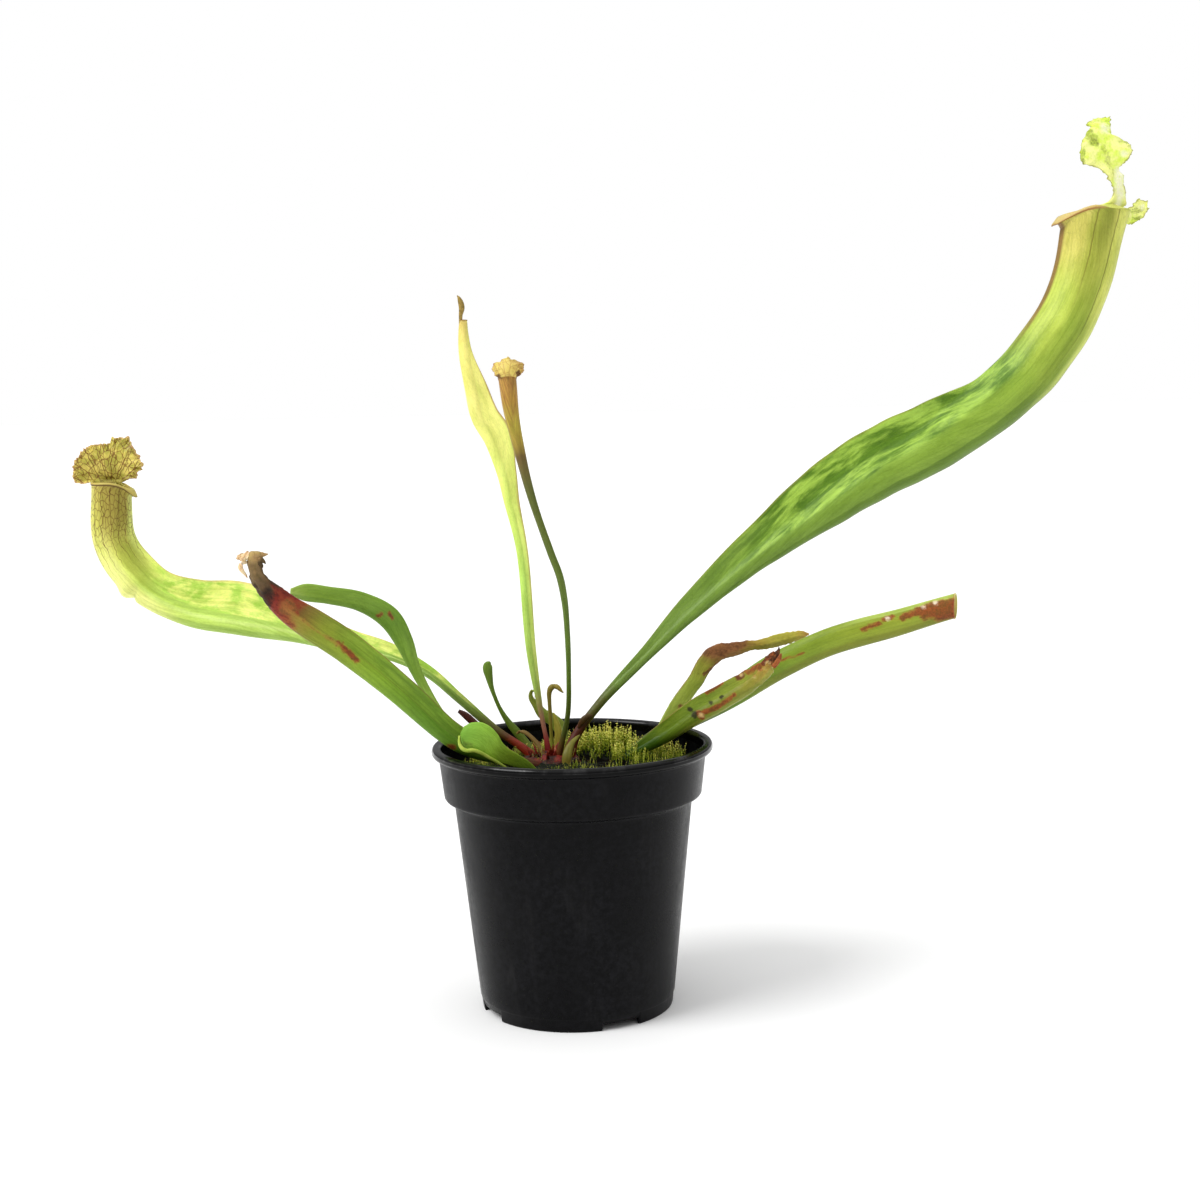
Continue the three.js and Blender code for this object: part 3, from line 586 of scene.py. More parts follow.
@dataclass(frozen=True)
class LeafFinish:
    """Colours of one leaf, from its foot to its mouth."""

    name: str
    stops: tuple[tuple[float, Colour], ...]
    bands: tuple[Band, ...] = ()
    wing: Colour = rgb(165, 205, 75)
    wing_dark: Colour = rgb(98, 138, 30)
    wing_strength: float = 0.0
    mottle: tuple[float, float] = (4.5, 22.0)
    mottle_turn: float = 0.19
    wing_start: float = 0.16
    wing_end: float = 1.2
    vein: Colour = rgb(105, 45, 25)
    vein_shares: tuple[float, float] = (0.9, 1.0)
    vein_strength: float = 0.0
    vein_cell: tuple[float, float] = (1.9, 4.2)
    vein_halo: float = 0.28
    lid: Colour = rgb(215, 235, 110)
    lid_dark: Colour = rgb(165, 190, 75)
    lid_vein: Colour = rgb(120, 60, 35)
    lid_vein_strength: float = 0.0
    lid_rays: float = 4.2
    margin: Colour = rgb(110, 90, 36)
    margin_strength: float = 0.6
    lip: Colour = rgb(205, 180, 105)
    hem: Colour = rgb(140, 100, 50)
    inner: Colour = rgb(205, 200, 110)
    streaks: float = 0.3
    speckle: float = 0.0
    rust: Colour = rgb(150, 75, 35)
    red: Colour = rgb(140, 35, 25)
    dark: Colour = rgb(45, 28, 20)
    pale: Colour = rgb(250, 235, 190)
    roughness: float = 0.42
    glow: float = 0.1

    def material(self) -> Material:
        """Builds the leaf's material."""
        sh = Shader(self.name)
        fine = sh.noise(sh.skin(0.45, 1.3), 3)
        ribs = sh.noise(sh.skin(0.7, 34), 3)
        veins = sh.grade(sh.cells(sh.skin(1.5, 5.0)), 0.0, 0.16)
        colour = self.body_colour(sh)
        colour = self.lid_colour(sh, colour)
        colour = self.blemished(sh, colour)
        colour = sh.mix(colour, rgb(150, 160, 110), sh.grade(fine, 0.45, 0.62) * 0.12, "MULTIPLY")
        height = fine * 0.25 + ribs * 0.5 + veins * 0.25
        rough = self.roughness + (fine - 0.5) * 0.2 + sh.read("dark") * 0.25 + sh.read("rust") * 0.2
        return sh.surface(
            Base_Color=colour, Roughness=rough, Normal=sh.bump(height, 0.25, 0.6),
            Subsurface_Weight=self.glow, Subsurface_Radius=(1.0, 0.8, 0.25), Subsurface_Scale=0.0015,
            Specular_IOR_Level=0.26)

    def body_colour(self, sh: Shader) -> Socket:
        """Colour of the tube and its wing.

        Args:
            sh: The shader.

        Returns:
            The colour.
        """
        share = sh.read("share")
        patchy = sh.noise(sh.space(13), 4)
        turn = sh.read("turn") + (patchy - 0.5) * 0.05
        wing = sh.read("wing")
        colour = sh.ramp(share + (patchy - 0.5) * 0.06, self.stops)
        for band in self.bands:
            colour = band.lay(sh, colour, turn, share)
        if self.wing_strength:
            colour = self.winged_colour(sh, colour, share, turn)
        cloud = sh.grade(sh.noise(sh.skin(5, 16), 4, 0.6), 0.35, 0.7)
        colour = sh.mix(colour, rgb(196, 206, 150), cloud * 0.5, "MULTIPLY")
        streak = sh.grade(sh.noise(sh.skin(0.9, 40), 4, 0.65), 0.4, 0.68)
        colour = sh.mix(colour, rgb(168, 180, 110), streak * self.streaks, "MULTIPLY")
        if self.speckle:
            dots = sh.grade(sh.noise(sh.skin(0.8, 1.0), 4, 0.7), 0.6, 0.7)
            colour = sh.mix(colour, rgb(150, 140, 90), dots * self.speckle, "MULTIPLY")
        if self.vein_strength:
            colour = self.veined(sh, colour, share + (patchy - 0.5) * 0.05)
        edge = sh.grade(wing, 0.9, 0.98) * (0.55 + patchy * 0.6)
        colour = sh.mix(colour, self.margin, edge * self.margin_strength)
        colour = sh.mix(colour, self.inner, sh.read("inner"))
        lip = sh.mix(self.lip, self.margin, sh.grade(patchy, 0.5, 0.75) * 0.4)
        colour = sh.mix(colour, lip, sh.read("lip"))
        # Painted shade: the hem colour darkens the underside of the rolled lip.
        return sh.mix(colour, self.hem, sh.read("hem"))

    def winged_colour(self, sh: Shader, colour: Socket, share: Value, turn: Value) -> Socket:
        """Lays the mottled colour of the wing over the tube's; the light and dark mottle is partly the
        wing's own tone and partly painted light and shade in the thin wing.

        Args:
            sh: The shader.
            colour: The tube's colour.
            share: Share of the length.
            turn: Turn round the tube.

        Returns:
            The colour.
        """
        broad = sh.noise(sh.skin(*self.mottle), 4, 0.58, 0.6)
        narrow = sh.noise(sh.skin(self.mottle[0] / 3, self.mottle[1] / 2), 4, 0.6, 0.4)
        mottle = sh.grade(broad * 0.68 + narrow * 0.32, 0.41, 0.6)
        wing_colour = sh.mix(self.wing_dark, self.wing, mottle)
        side, start, end = self.mottle_turn, self.wing_start, self.wing_end
        on_wing = sh.grade(turn, side + 0.04, side - 0.04) * sh.grade(share, start - 0.09, start + 0.09)
        on_wing = on_wing * sh.grade(share, end, end - 0.1)
        return sh.mix(colour, wing_colour, on_wing * self.wing_strength)

    def veined(self, sh: Shader, colour: Socket, share: Value) -> Socket:
        """Draws the net of veins towards the mouth.

        Args:
            sh: The shader.
            colour: The colour so far.
            share: Share of the length.

        Returns:
            The colour.
        """
        net = sh.cells(sh.skin(*self.vein_cell), 0.35)
        near = sh.grade(share, *self.vein_shares)
        rays = sh.grade(share, self.vein_shares[0] - 0.04, self.vein_shares[1] - 0.04)
        fine = sh.grade(net, 0.075, 0.015) * near
        long = sh.threads(self.vein_cell[0] * 2, 1.6, 0.17) * rays
        halo = sh.grade(net, 0.34, 0.05) * near
        threads = sh.math("MAXIMUM", fine * 0.85, long)
        colour = sh.mix(colour, self.vein, halo * self.vein_halo)
        return sh.mix(colour, self.vein, threads * self.vein_strength)

    def lid_colour(self, sh: Shader, body: Socket) -> Socket:
        """Colour with the lid's laid over it.

        Args:
            sh: The shader.
            body: The colour so far.

        Returns:
            The colour.
        """
        cloud = sh.grade(sh.noise(sh.space(6), 4, 0.6), 0.42, 0.62)
        colour = sh.mix(self.lid, self.lid_dark, cloud)
        if self.lid_vein_strength:
            reach = sh.part("Y", sh.skin_place())
            widen = sh.math("MAXIMUM", reach, 4.0) / LID_SKIN
            main = sh.threads(self.lid_rays, 1.1, 0.24, widen)
            side = sh.threads(self.lid_rays / 2, 1.7, 0.17, widen) * sh.grade(reach, 9, 13)
            net = sh.grade(sh.cells(sh.space(3.3), 0.4, "3D"), 0.06, 0.015)
            near_edge = sh.grade(sh.read("edge"), 0.05, 0.3)
            small = sh.grade(sh.cells(sh.space(1.8), 0.4, "3D"), 0.08, 0.02) * near_edge
            threads = sh.math("MAXIMUM", sh.math("MAXIMUM", main, side * 0.9),
                              sh.math("MAXIMUM", net * 0.85, small * 0.85))
            colour = sh.mix(colour, self.lid_vein, threads * self.lid_vein_strength)
        ragged = sh.grade(sh.read("edge") + (sh.noise(sh.space(1.5), 3) - 0.5) * 0.5, 0.3, 0.85)
        colour = sh.mix(colour, self.margin, ragged * self.margin_strength)
        return sh.mix(body, colour, sh.read("lid"))

    def blemished(self, sh: Shader, colour: Socket) -> Socket:
        """Colour with red, rust and dead patches.

        Args:
            sh: The shader.
            colour: The colour so far.

        Returns:
            The colour.
        """
        broad = sh.noise(sh.skin(2.2, 6.0), 5, 0.62, 0.5)
        fine = sh.noise(sh.space(0.9), 4, 0.65)
        ragged = (broad - 0.5) * 1.5 + (fine - 0.5) * 0.6
        for name, tone in (("red", self.red), ("rust", self.rust), ("dark", self.dark)):
            value = sh.read(name)
            mask = sh.grade(value + ragged * sh.grade(value, 0.0, 0.25), 0.18, 0.8)
            clotted = sh.grade(fine * 0.5 + broad * 0.5, 0.42, 0.6) * 0.85
            varied = sh.mix(tone, tuple(0.3 * part for part in tone), clotted)
            halo = sh.grade(value + ragged * 0.5 * sh.grade(value, 0.0, 0.25), 0.05, 0.5)
            colour = sh.mix(colour, tuple(min(1.0, 1.5 * part) for part in tone), halo * 0.3)
            colour = sh.mix(colour, varied, mask * (0.98 - broad * 0.35))
        return sh.mix(colour, self.pale, sh.read("pale") * sh.grade(fine, 0.25, 0.5))


# ---------------------------------------------------------------- leaf forms

BLADE = 0.8
BLADE_ROOT = 1.6
WING_FULL = 2.0
WING_WAVES = 3.5
FINE_WAVES = 46
ROUND_SIDES = 36
WING_ROOT_ANGLE = 32.0
WING_POINTS = (1.0, 0.985, 0.95, 0.86, 0.72, 0.56, 0.4, 0.25, 0.12, 0.0)
TUBE_STEPS = 15
WALL = 0.9
LID_SKIN = 12.0
LIP_TURNS = (-50, -15, 20, 55, 90, 125, 160)
# Painted shade: how strongly the hem colour darkens each ring of the lip, strongest on its underside.
LIP_HEM = (1.0, 0.85, 0.2, 0.0, 0.0, 0.0, 0.0)
HOLLOW_RINGS = 28


class Blemish(Enum):
    """Kinds of patch on a leaf."""

    RED = "red"
    RUST = "rust"
    DARK = "dark"
    PALE = "pale"


RED, RUST, DARK, PALE = Blemish


@dataclass(frozen=True)
class Patch:
    """A patch on a leaf: its kind, middle, radius and strength, and its far end if it is long."""

    kind: Blemish
    middle: Point
    radius: float
    strength: float = 1.0
    end: Optional[Point] = None

    def distance(self, points: Array) -> Array:
        """Distance of points from the patch's middle, or from its line to its far end."""
        start = np.array(self.middle, float)
        along = np.array(self.end or self.middle, float) - start
        off = points - start
        share = np.clip(off @ along / max(float(along @ along), 1e-9), 0, 1)
        return np.linalg.norm(off - share[..., None] * along, axis=-1)


@dataclass(frozen=True)
class Mouth:
    """An open mouth: its hollow, the bend and spout of its rim and its rolled lip.

    bend lowers the rim by its three numbers times the place towards the spout, its square and
    its cube, lift raises it all round and skew lowers the side that a viewer sees. The lip thins
    between the places in rolled, down to least.
    """

    depth: float
    bend: tuple[float, float, float] = (0.0, 0.0, 0.0)
    spout: float = 0.0
    hook: float = 0.0
    roll: float = 0.45
    lift: float = 0.0
    flare: float = 2.2
    rolled: tuple[float, float] = (-3.0, -2.0)
    least: float = 0.25
    skew: float = 0.0


@dataclass(frozen=True)
class Lid:
    """A lobed lid, drawn by its left margin, its middle and its right margin.

    roots are the rim's angles where the three start, in degrees from the spout; where they are
    left out the first points are the roots.
    """

    left: tuple[Point, ...]
    middle: tuple[Point, ...]
    right: tuple[Point, ...]
    roots: Optional[tuple[float, float, float]] = None
    hub: tuple[float, float] = (0.0, 0.0)
    thickness: float = 0.5
    ruffle: float = 0.6
    ruffles: float = 9.0
    fray: float = 0.0
    rows: int = 84
    columns: int = 49
    root_share: float = 0.22


@dataclass(frozen=True)
class Spur:
    """A small tapered horn: a beak or a bract. Its path is x, y, z and radius."""

    path: tuple[tuple[float, float, float, float], ...]
    flat: float = 0.6
    values: tuple[tuple[str, float], ...] = ()


class Guide:
    """The line that a leaf follows, read at shares of its length."""

    def __init__(self, path: Sequence[Sequence[float]], up: Point, samples: int = 2400) -> None:
        """Samples the line.

        Args:
            path: x, y, z, tube radius and wing height, from the crown outwards.
            up: The side of the tube that the wing stands on.
            samples: How finely the line is sampled.
        """
        knots = np.array([tuple(row) + (0.0,) * (5 - len(row)) for row in path], float)
        places = np.linspace(0, len(knots) - 1, samples)
        self.line = spline(knots[:, :3], places)
        self.sizes = spline(knots[:, 3:], places, centripetal=False)
        steps = np.linalg.norm(np.diff(self.line, axis=0), axis=1)
        self.length = float(steps.sum())
        self.shares = np.concatenate([[0], np.cumsum(steps)]) / self.length
        slope = np.gradient(self.line, axis=0)
        self.slope = slope / np.linalg.norm(slope, axis=1)[:, None]
        self.up = np.array(up, float) / np.linalg.norm(up)

    def read(self, shares: Array, values: Array) -> Array:
        """Reads sampled values at shares of the length, a column at a time."""
        return np.stack([np.interp(shares, self.shares, column) for column in values.T], -1)

    def frames(self, shares: Array) -> "Frames":
        """The middle, directions and sizes of the section at shares of the length.

        Args:
            shares: Shares of the length.

        Returns:
            The frames.
        """
        tangent = self.read(shares, self.slope)
        tangent /= np.linalg.norm(tangent, axis=1)[:, None]
        wingward = self.up - (tangent @ self.up)[:, None] * tangent
        wingward /= np.linalg.norm(wingward, axis=1)[:, None]
        sizes = self.read(shares, self.sizes)
        return Frames(shares, self.read(shares, self.line), tangent, wingward,
                      np.cross(tangent, wingward), sizes[:, 0], np.maximum(sizes[:, 1], 0))


@dataclass
class Frames:
    """Middles, directions and sizes of sections along a leaf."""

    share: Array
    centre: Array
    tangent: Array
    wingward: Array
    sideways: Array
    tube: Array
    wing: Array

    def place(self, out: Array, side: Array, rise: Array) -> Array:
        """Points at distances wingward, sideways and along the line, one row a section."""
        steps = ((self.wingward, out), (self.sideways, side), (self.tangent, rise))
        return sum((ahead[:, None, :] * far[..., None] for ahead, far in steps), self.centre[:, None, :])


@dataclass
class Leaf:
    """One leaf: tube, wing, mouth, lids and spurs grown in one piece."""

    node: str
    slot: str
    finish: LeafFinish
    path: tuple[tuple[float, ...], ...]
    up: Point = (1, 0, 1)
    flat: float = 0.8
    wave: float = 0.0
    rings: int = 120
    sheath: float = 0.0
    mouth: Optional[Mouth] = None
    lids: tuple[Lid, ...] = ()
    spurs: tuple[Spur, ...] = ()
    patches: tuple[Patch, ...] = ()
    wrinkle: tuple[tuple[float, float], ...] = ()
    crease: float = 0.0
    seed: int = 1
    shell: Shell = field(default_factory=Shell)

    def __post_init__(self) -> None:
        """Works out the line and the points of a section."""
        self.guide = Guide(self.path, self.up)
        self.winged = any(len(row) > 4 and row[4] > 0 for row in self.path)
        self.angles, self.wings = self.section()

    def section(self) -> tuple[Array, Array]:
        """Angles, in degrees, and wing shares of a section's points, once round."""
        if not self.winged:
            side = np.arange(ROUND_SIDES)
            return side * (360 / ROUND_SIDES) - 360 * (side > ROUND_SIDES // 2), np.zeros(ROUND_SIDES)
        shares = np.array(WING_POINTS)
        blade = WING_ROOT_ANGLE * (1 - shares)
        tube = np.linspace(WING_ROOT_ANGLE, 180, TUBE_STEPS + 1)[1:]
        half = np.concatenate([blade, tube])
        shares = np.concatenate([shares, np.zeros(len(tube))])
        return np.concatenate([half, -half[-2:0:-1]]), np.concatenate([shares, shares[-2:0:-1]])

    def drop(self, outward: Array) -> Array:
        """How far the slanted rim lies off square, from its back (-1) to its spout (1)."""
        if not self.mouth:
            return 0 * outward
        first, second, third = self.mouth.bend
        return self.mouth.lift - (first * outward + second * outward**2 + third * outward**3)

    def ring_points(self, frames: Frames, widen: Union[float, Array] = 0.0,
                    rise: Union[float, Array] = 0.0, bare: bool = False) -> Array:
        """Points of the sections.

        Args:
            frames: Where the sections are.
            widen: How much wider than the tube they are, one number, one a section or one a point.
            rise: How far they are moved along the line.
            bare: Whether the wing is left out.

        Returns:
            The points, one row a section.
        """
        angle = np.radians(self.angles)[None, :]
        shares = self.wings[None, :]
        radius = frames.tube[:, None] + (widen[:, None] if np.ndim(widen) == 1 else widen)
        depth = np.maximum(radius * self.flat, BLADE / 2)
        wing = np.zeros_like(radius) if bare else frames.wing[:, None]
        sheath = self.sheath * (1 - smooth(frames.share * self.guide.length, 1.5, 12))[:, None]
        radius = radius + sheath
        depth = depth + sheath
        out = radius * np.cos(angle) + wing * shares
        round_side = depth * np.sin(angle)
        thickness = BLADE / 2 * (BLADE_ROOT - (BLADE_ROOT - 0.75) * shares)
        thickness = thickness * np.sqrt(np.clip(1 - (np.maximum(shares - 0.9, 0) / 0.1) ** 2, 0, 1))
        root = depth * math.sin(math.radians(WING_ROOT_ANGLE))
        fillet = np.clip(1 - shares * np.maximum(wing, 1e-3) / 3.0, 0, 1) ** 2
        blade = np.sign(angle) * (thickness + np.maximum(root - thickness, 0) * fillet)
        full = smooth(wing, 0, WING_FULL)
        sway = self.wave * smooth(wing, 1, 6) * np.sin(WING_WAVES * 2 * math.pi * frames.share)[:, None]
        fine = 0.35 * self.wave * smooth(wing, 3, 9) * shares**2
        fine = fine * np.sin(FINE_WAVES * frames.share[:, None] + 1.3 * self.seed)
        bladed = round_side + (blade - round_side) * full + (sway + fine) * shares
        side = np.where(shares > 0, bladed, round_side)
        weight = smooth(frames.share, 0.9, 1)[:, None] if self.mouth else 0.0
        tilt = self.mouth.skew * np.sin(angle) if self.mouth else 0.0
        slant = weight * (self.drop(np.clip(out / frames.tube[:, None], -1, 1)) - tilt)
        if self.mouth and not bare:
            near = smooth(frames.share, 1 - self.mouth.flare / self.guide.length, 1)[:, None] ** 2
            out = out + self.mouth.spout * near * smooth(np.cos(angle), 0.72, 1)
        return frames.place(out, side, slant + rise)

    def uneven(self, points: Array, frames: Frames) -> Array:
        """Moves points off a perfect form, and crumples them where the leaf is dry.

        Args:
            points: The points, one row a section.
            frames: Where the sections are.

        Returns:
            The moved points.
        """
        away = points - frames.centre[:, None, :]
        length = np.linalg.norm(away, axis=-1, keepdims=True)
        away = away / np.maximum(length, 1e-6)
        size = np.minimum(frames.tube, 6)[:, None]
        move = 0.035 * size * Ripple(self.seed, 26).at(points)
        if self.wrinkle:
            places, amounts = zip(*self.wrinkle)
            amount = np.interp(frames.share, places, amounts)[:, None]
            move = move + amount * (Ripple(self.seed + 5, 3.4).at(points)
                                    + 0.6 * Ripple(self.seed + 9, 1.7).at(points))
        if self.crease:
            off = (frames.share - self.crease) * self.guide.length
            under = smooth(-np.cos(np.radians(self.angles)), -0.2, 0.9)[None, :]
            move = move - 1.5 * np.exp(-((off / 1.1) ** 2))[:, None] * under
            move = move + 1.5 * np.exp(-(((off - 3.4) / 2.8) ** 2))[:, None] * under
        return points + away * move[..., None]

    def blemishes(self, points: Array) -> dict[str, Array]:
        """Strength of the patches at points, by kind.

        Args:
            points: The points.

        Returns:
            One array a kind.
        """
        found = {kind.value: np.zeros(points.shape[:-1]) for kind in Blemish}
        for index, patch in enumerate(self.patches):
            off = patch.distance(points)
            off = off * (1 + 0.18 * Ripple(self.seed + 31 + index, patch.radius * 1.6).at(points))
            strength = patch.strength * (1 - smooth(off, 0.35 * patch.radius, 1.5 * patch.radius))
            found[patch.kind.value] = np.maximum(found[patch.kind.value], strength)
        return found

    def body(self) -> None:
        """Adds the tube and wing, with the lip and the hollow of an open mouth."""
        frames = self.guide.frames(np.linspace(0, 1, self.rings + 1))
        runs = [(self.uneven(self.ring_points(frames), frames), frames.share, 0.0, 0.0, 0.0)]
        if self.mouth:
            end = self.guide.frames(np.ones(1))
            cosine = np.cos(np.radians(self.angles))
            spout = smooth(cosine, 0.72, 1)[None, :]
            full = smooth(cosine, *self.mouth.rolled)[None, :]
            rolled = self.mouth.roll * (self.mouth.least + (1 - self.mouth.least) * full)
            shown = np.maximum(full, smooth(self.mouth.least, 0.1, 0.25))
            for angle, hem in zip(np.radians(LIP_TURNS), LIP_HEM):
                ring = self.ring_points(end, rolled * (math.cos(angle) - 0.3),
                                        rolled * (math.sin(angle) + 0.9))
                reach = 0.5 + 0.5 * math.cos(angle)
                ring = ring - end.tangent[:, None] * (self.mouth.hook * spout * reach)[..., None]
                runs.append((ring, np.ones(1), (1 - smooth(angle, 1.9, 3.1)) * shown, hem * shown, 0.0))
            down = 1 - np.linspace(0.1, self.mouth.depth, HOLLOW_RINGS) / self.guide.length
            inside = self.guide.frames(down)
            deep = np.linspace(0, 1, HOLLOW_RINGS)
            narrow = -WALL - 0.35 * inside.tube * smooth(deep, 0.6, 1)
            runs.append((self.ring_points(inside, narrow, 0.0, bare=True), down, 0.0, 0.0, 1.0))
        grids, shares, *painted = zip(*runs)
        grid = np.vstack(grids)
        share = np.concatenate(shares)[:, None]
        lip, hem, inner = (np.vstack([np.broadcast_to(value, points.shape[:2])
                                      for value, points in zip(values, grids)]) for values in painted)
        rings, sides = grid.shape[:2]
        steps = np.linalg.norm(np.diff(grid, axis=1), axis=-1)
        arc = np.concatenate([np.zeros((rings, 1)), np.cumsum(steps, axis=1)], axis=1)
        arc = np.where(np.arange(sides)[None, :] <= sides // 2, arc, arc - arc[:, -1:] - steps[:, :1])
        along = np.repeat(share, sides, 1)
        wing = smooth(self.guide.frames(share[:, 0]).wing, 0.4, 2.5)[:, None]
        spread = {
            "share": along, "turn": np.repeat(np.abs(self.angles)[None, :] / 180, rings, 0),
            "wing": self.wings[None, :] * wing, "lip": lip, "hem": hem, "inner": inner,
            **self.blemishes(grid)}
        skin = np.stack([arc, along * self.guide.length, np.zeros_like(arc)], -1)
        self.shell.tube(grid, skin=capped(skin),
                        **{name: capped(value[..., None])[:, 0] for name, value in spread.items()})

    def rim(self, angle: float) -> Array:
        """A point on the inner side of the rim, at an angle from the spout in degrees."""
        end = self.guide.frames(np.ones(1))
        turn = math.radians(angle)
        radius = float(end.tube[0]) - WALL / 2
        out = np.array([[radius * math.cos(turn)]])
        side = np.array([[radius * self.flat * math.sin(turn)]])
        rise = self.drop(out / end.tube[0]) - self.mouth.skew * math.sin(turn)
        return end.place(out, side, rise)[0, 0]

    def lid(self, lid: Lid) -> None:
        """Adds a lid.

        Args:
            lid: The lid.
        """
        rows = []
        places = np.linspace(0, 1, lid.rows)
        for index, margin in enumerate((lid.left, lid.middle, lid.right)):
            knots = np.array(margin, float)
            if lid.roots:
                knots = np.vstack([self.rim(lid.roots[index]), knots])
            rows.append(spline(knots, places * (len(knots) - 1)))
        left, middle, right = rows
        across = np.linspace(-1, 1, lid.columns)[None, :, None]
        grid = (middle[:, None] + across * (right - left)[:, None] / 2
                + across**2 * ((left + right) / 2 - middle)[:, None])
        if lid.roots:
            turns = np.linspace(lid.roots[0], lid.roots[2], lid.columns)
            arc = np.array([self.rim(turn) for turn in turns])
            grid = grid + (arc - grid[0])[None] * (1 - smooth(places, 0, lid.root_share))[:, None, None]
        normal = np.cross(np.gradient(grid, axis=1), np.gradient(grid, axis=0))
        normal /= np.maximum(np.linalg.norm(normal, axis=-1, keepdims=True), 1e-9)
        widths = np.linalg.norm(np.diff(grid, axis=1), axis=-1)
        run = np.concatenate([np.zeros((lid.rows, 1)), np.cumsum(widths, axis=1)], axis=1)
        margin = np.minimum(run, run[:, -1:] - run)
        edge = np.exp(-margin / 0.8) * smooth(places, 0.03, 0.2)[:, None]
        strength = (1 - smooth(margin, 0.5, 6)) * smooth(places, 0.1, 0.4)[:, None]
        waves = np.sin(2 * math.pi * lid.ruffles * places[:, None] + 1.1 * np.sign(across[..., 0]))
        frill = np.sin(2 * math.pi * 2.7 * lid.ruffles * places[:, None] + 2.0)
        lift = lid.ruffle * strength * (waves + 0.45 * frill)
        lift = lift + 0.35 * lid.ruffle * Ripple(self.seed + 3, 9).at(grid)
        grid = grid + normal * (lift * smooth(places, 0.0, 0.15)[:, None])[..., None]
        outward = np.gradient(grid, axis=1) * np.sign(across)
        outward /= np.maximum(np.linalg.norm(outward, axis=-1, keepdims=True), 1e-9)
        torn = np.abs(Ripple(self.seed + 4, 2.6).at(grid)) + 0.5 * Ripple(self.seed + 6, 1.5).at(grid)
        grid = grid + outward * (lid.fray * edge**2 * (torn - 0.6))[..., None]
        thick = lid.thickness + (WALL - lid.thickness) * (1 - smooth(places, 0, 0.3)) * bool(lid.roots)
        thin = thick[:, None, None] / 2 * (0.45 + 0.55 * smooth(margin, 0, 0.8))[..., None]
        points = np.vstack([(grid + normal * thin).reshape(-1, 3), (grid - normal * thin).reshape(-1, 3)])
        away = points[:, [0, 2]] - np.array(lid.hub)
        skin = np.stack([np.arctan2(away[:, 0], away[:, 1]) * LID_SKIN, np.hypot(*away.T),
                         np.zeros(len(points))], -1)
        on_lid = np.repeat(smooth(places, 0.02, 0.12)[:, None], lid.columns, 1).ravel()
        self.shell.add(points, sheet_faces(lid.rows, lid.columns), skin, share=1.0,
                       lid=np.tile(on_lid, 2), edge=np.tile(edge.ravel(), 2), turn=0.8,
                       **self.blemishes(points))

    def spur(self, spur: Spur) -> None:
        """Adds a spur.

        Args:
            spur: The spur.
        """
        guide = Guide([(*row, 0.0) for row in spur.path], self.up)
        frames = guide.frames(np.linspace(0, 1, 25))
        angle = np.radians(np.arange(0, 360, 20))[None, :]
        out = frames.tube[:, None] * np.cos(angle)
        side = frames.tube[:, None] * spur.flat * np.sin(angle)
        grid = frames.place(out, side, 0 * out)
        values = {"share": 1.0, **self.blemishes(capped(grid)), **dict(spur.values)}
        self.shell.tube(grid, turn=0.5, **values)

    def build(self) -> Piece:
        """Makes the leaf and dresses it."""
        self.body()
        for lid in self.lids:
            self.lid(lid)
        for spur in self.spurs:
            self.spur(spur)
        made = self.shell.build(f"{self.node}_leaf", self.finish.material())
        return finish_piece(made, self.slot, self.node)


# ---------------------------------------------------------------- the leaves

BASE_RED = (112, 24, 18)
BASE_BROWN = (94, 52, 26)


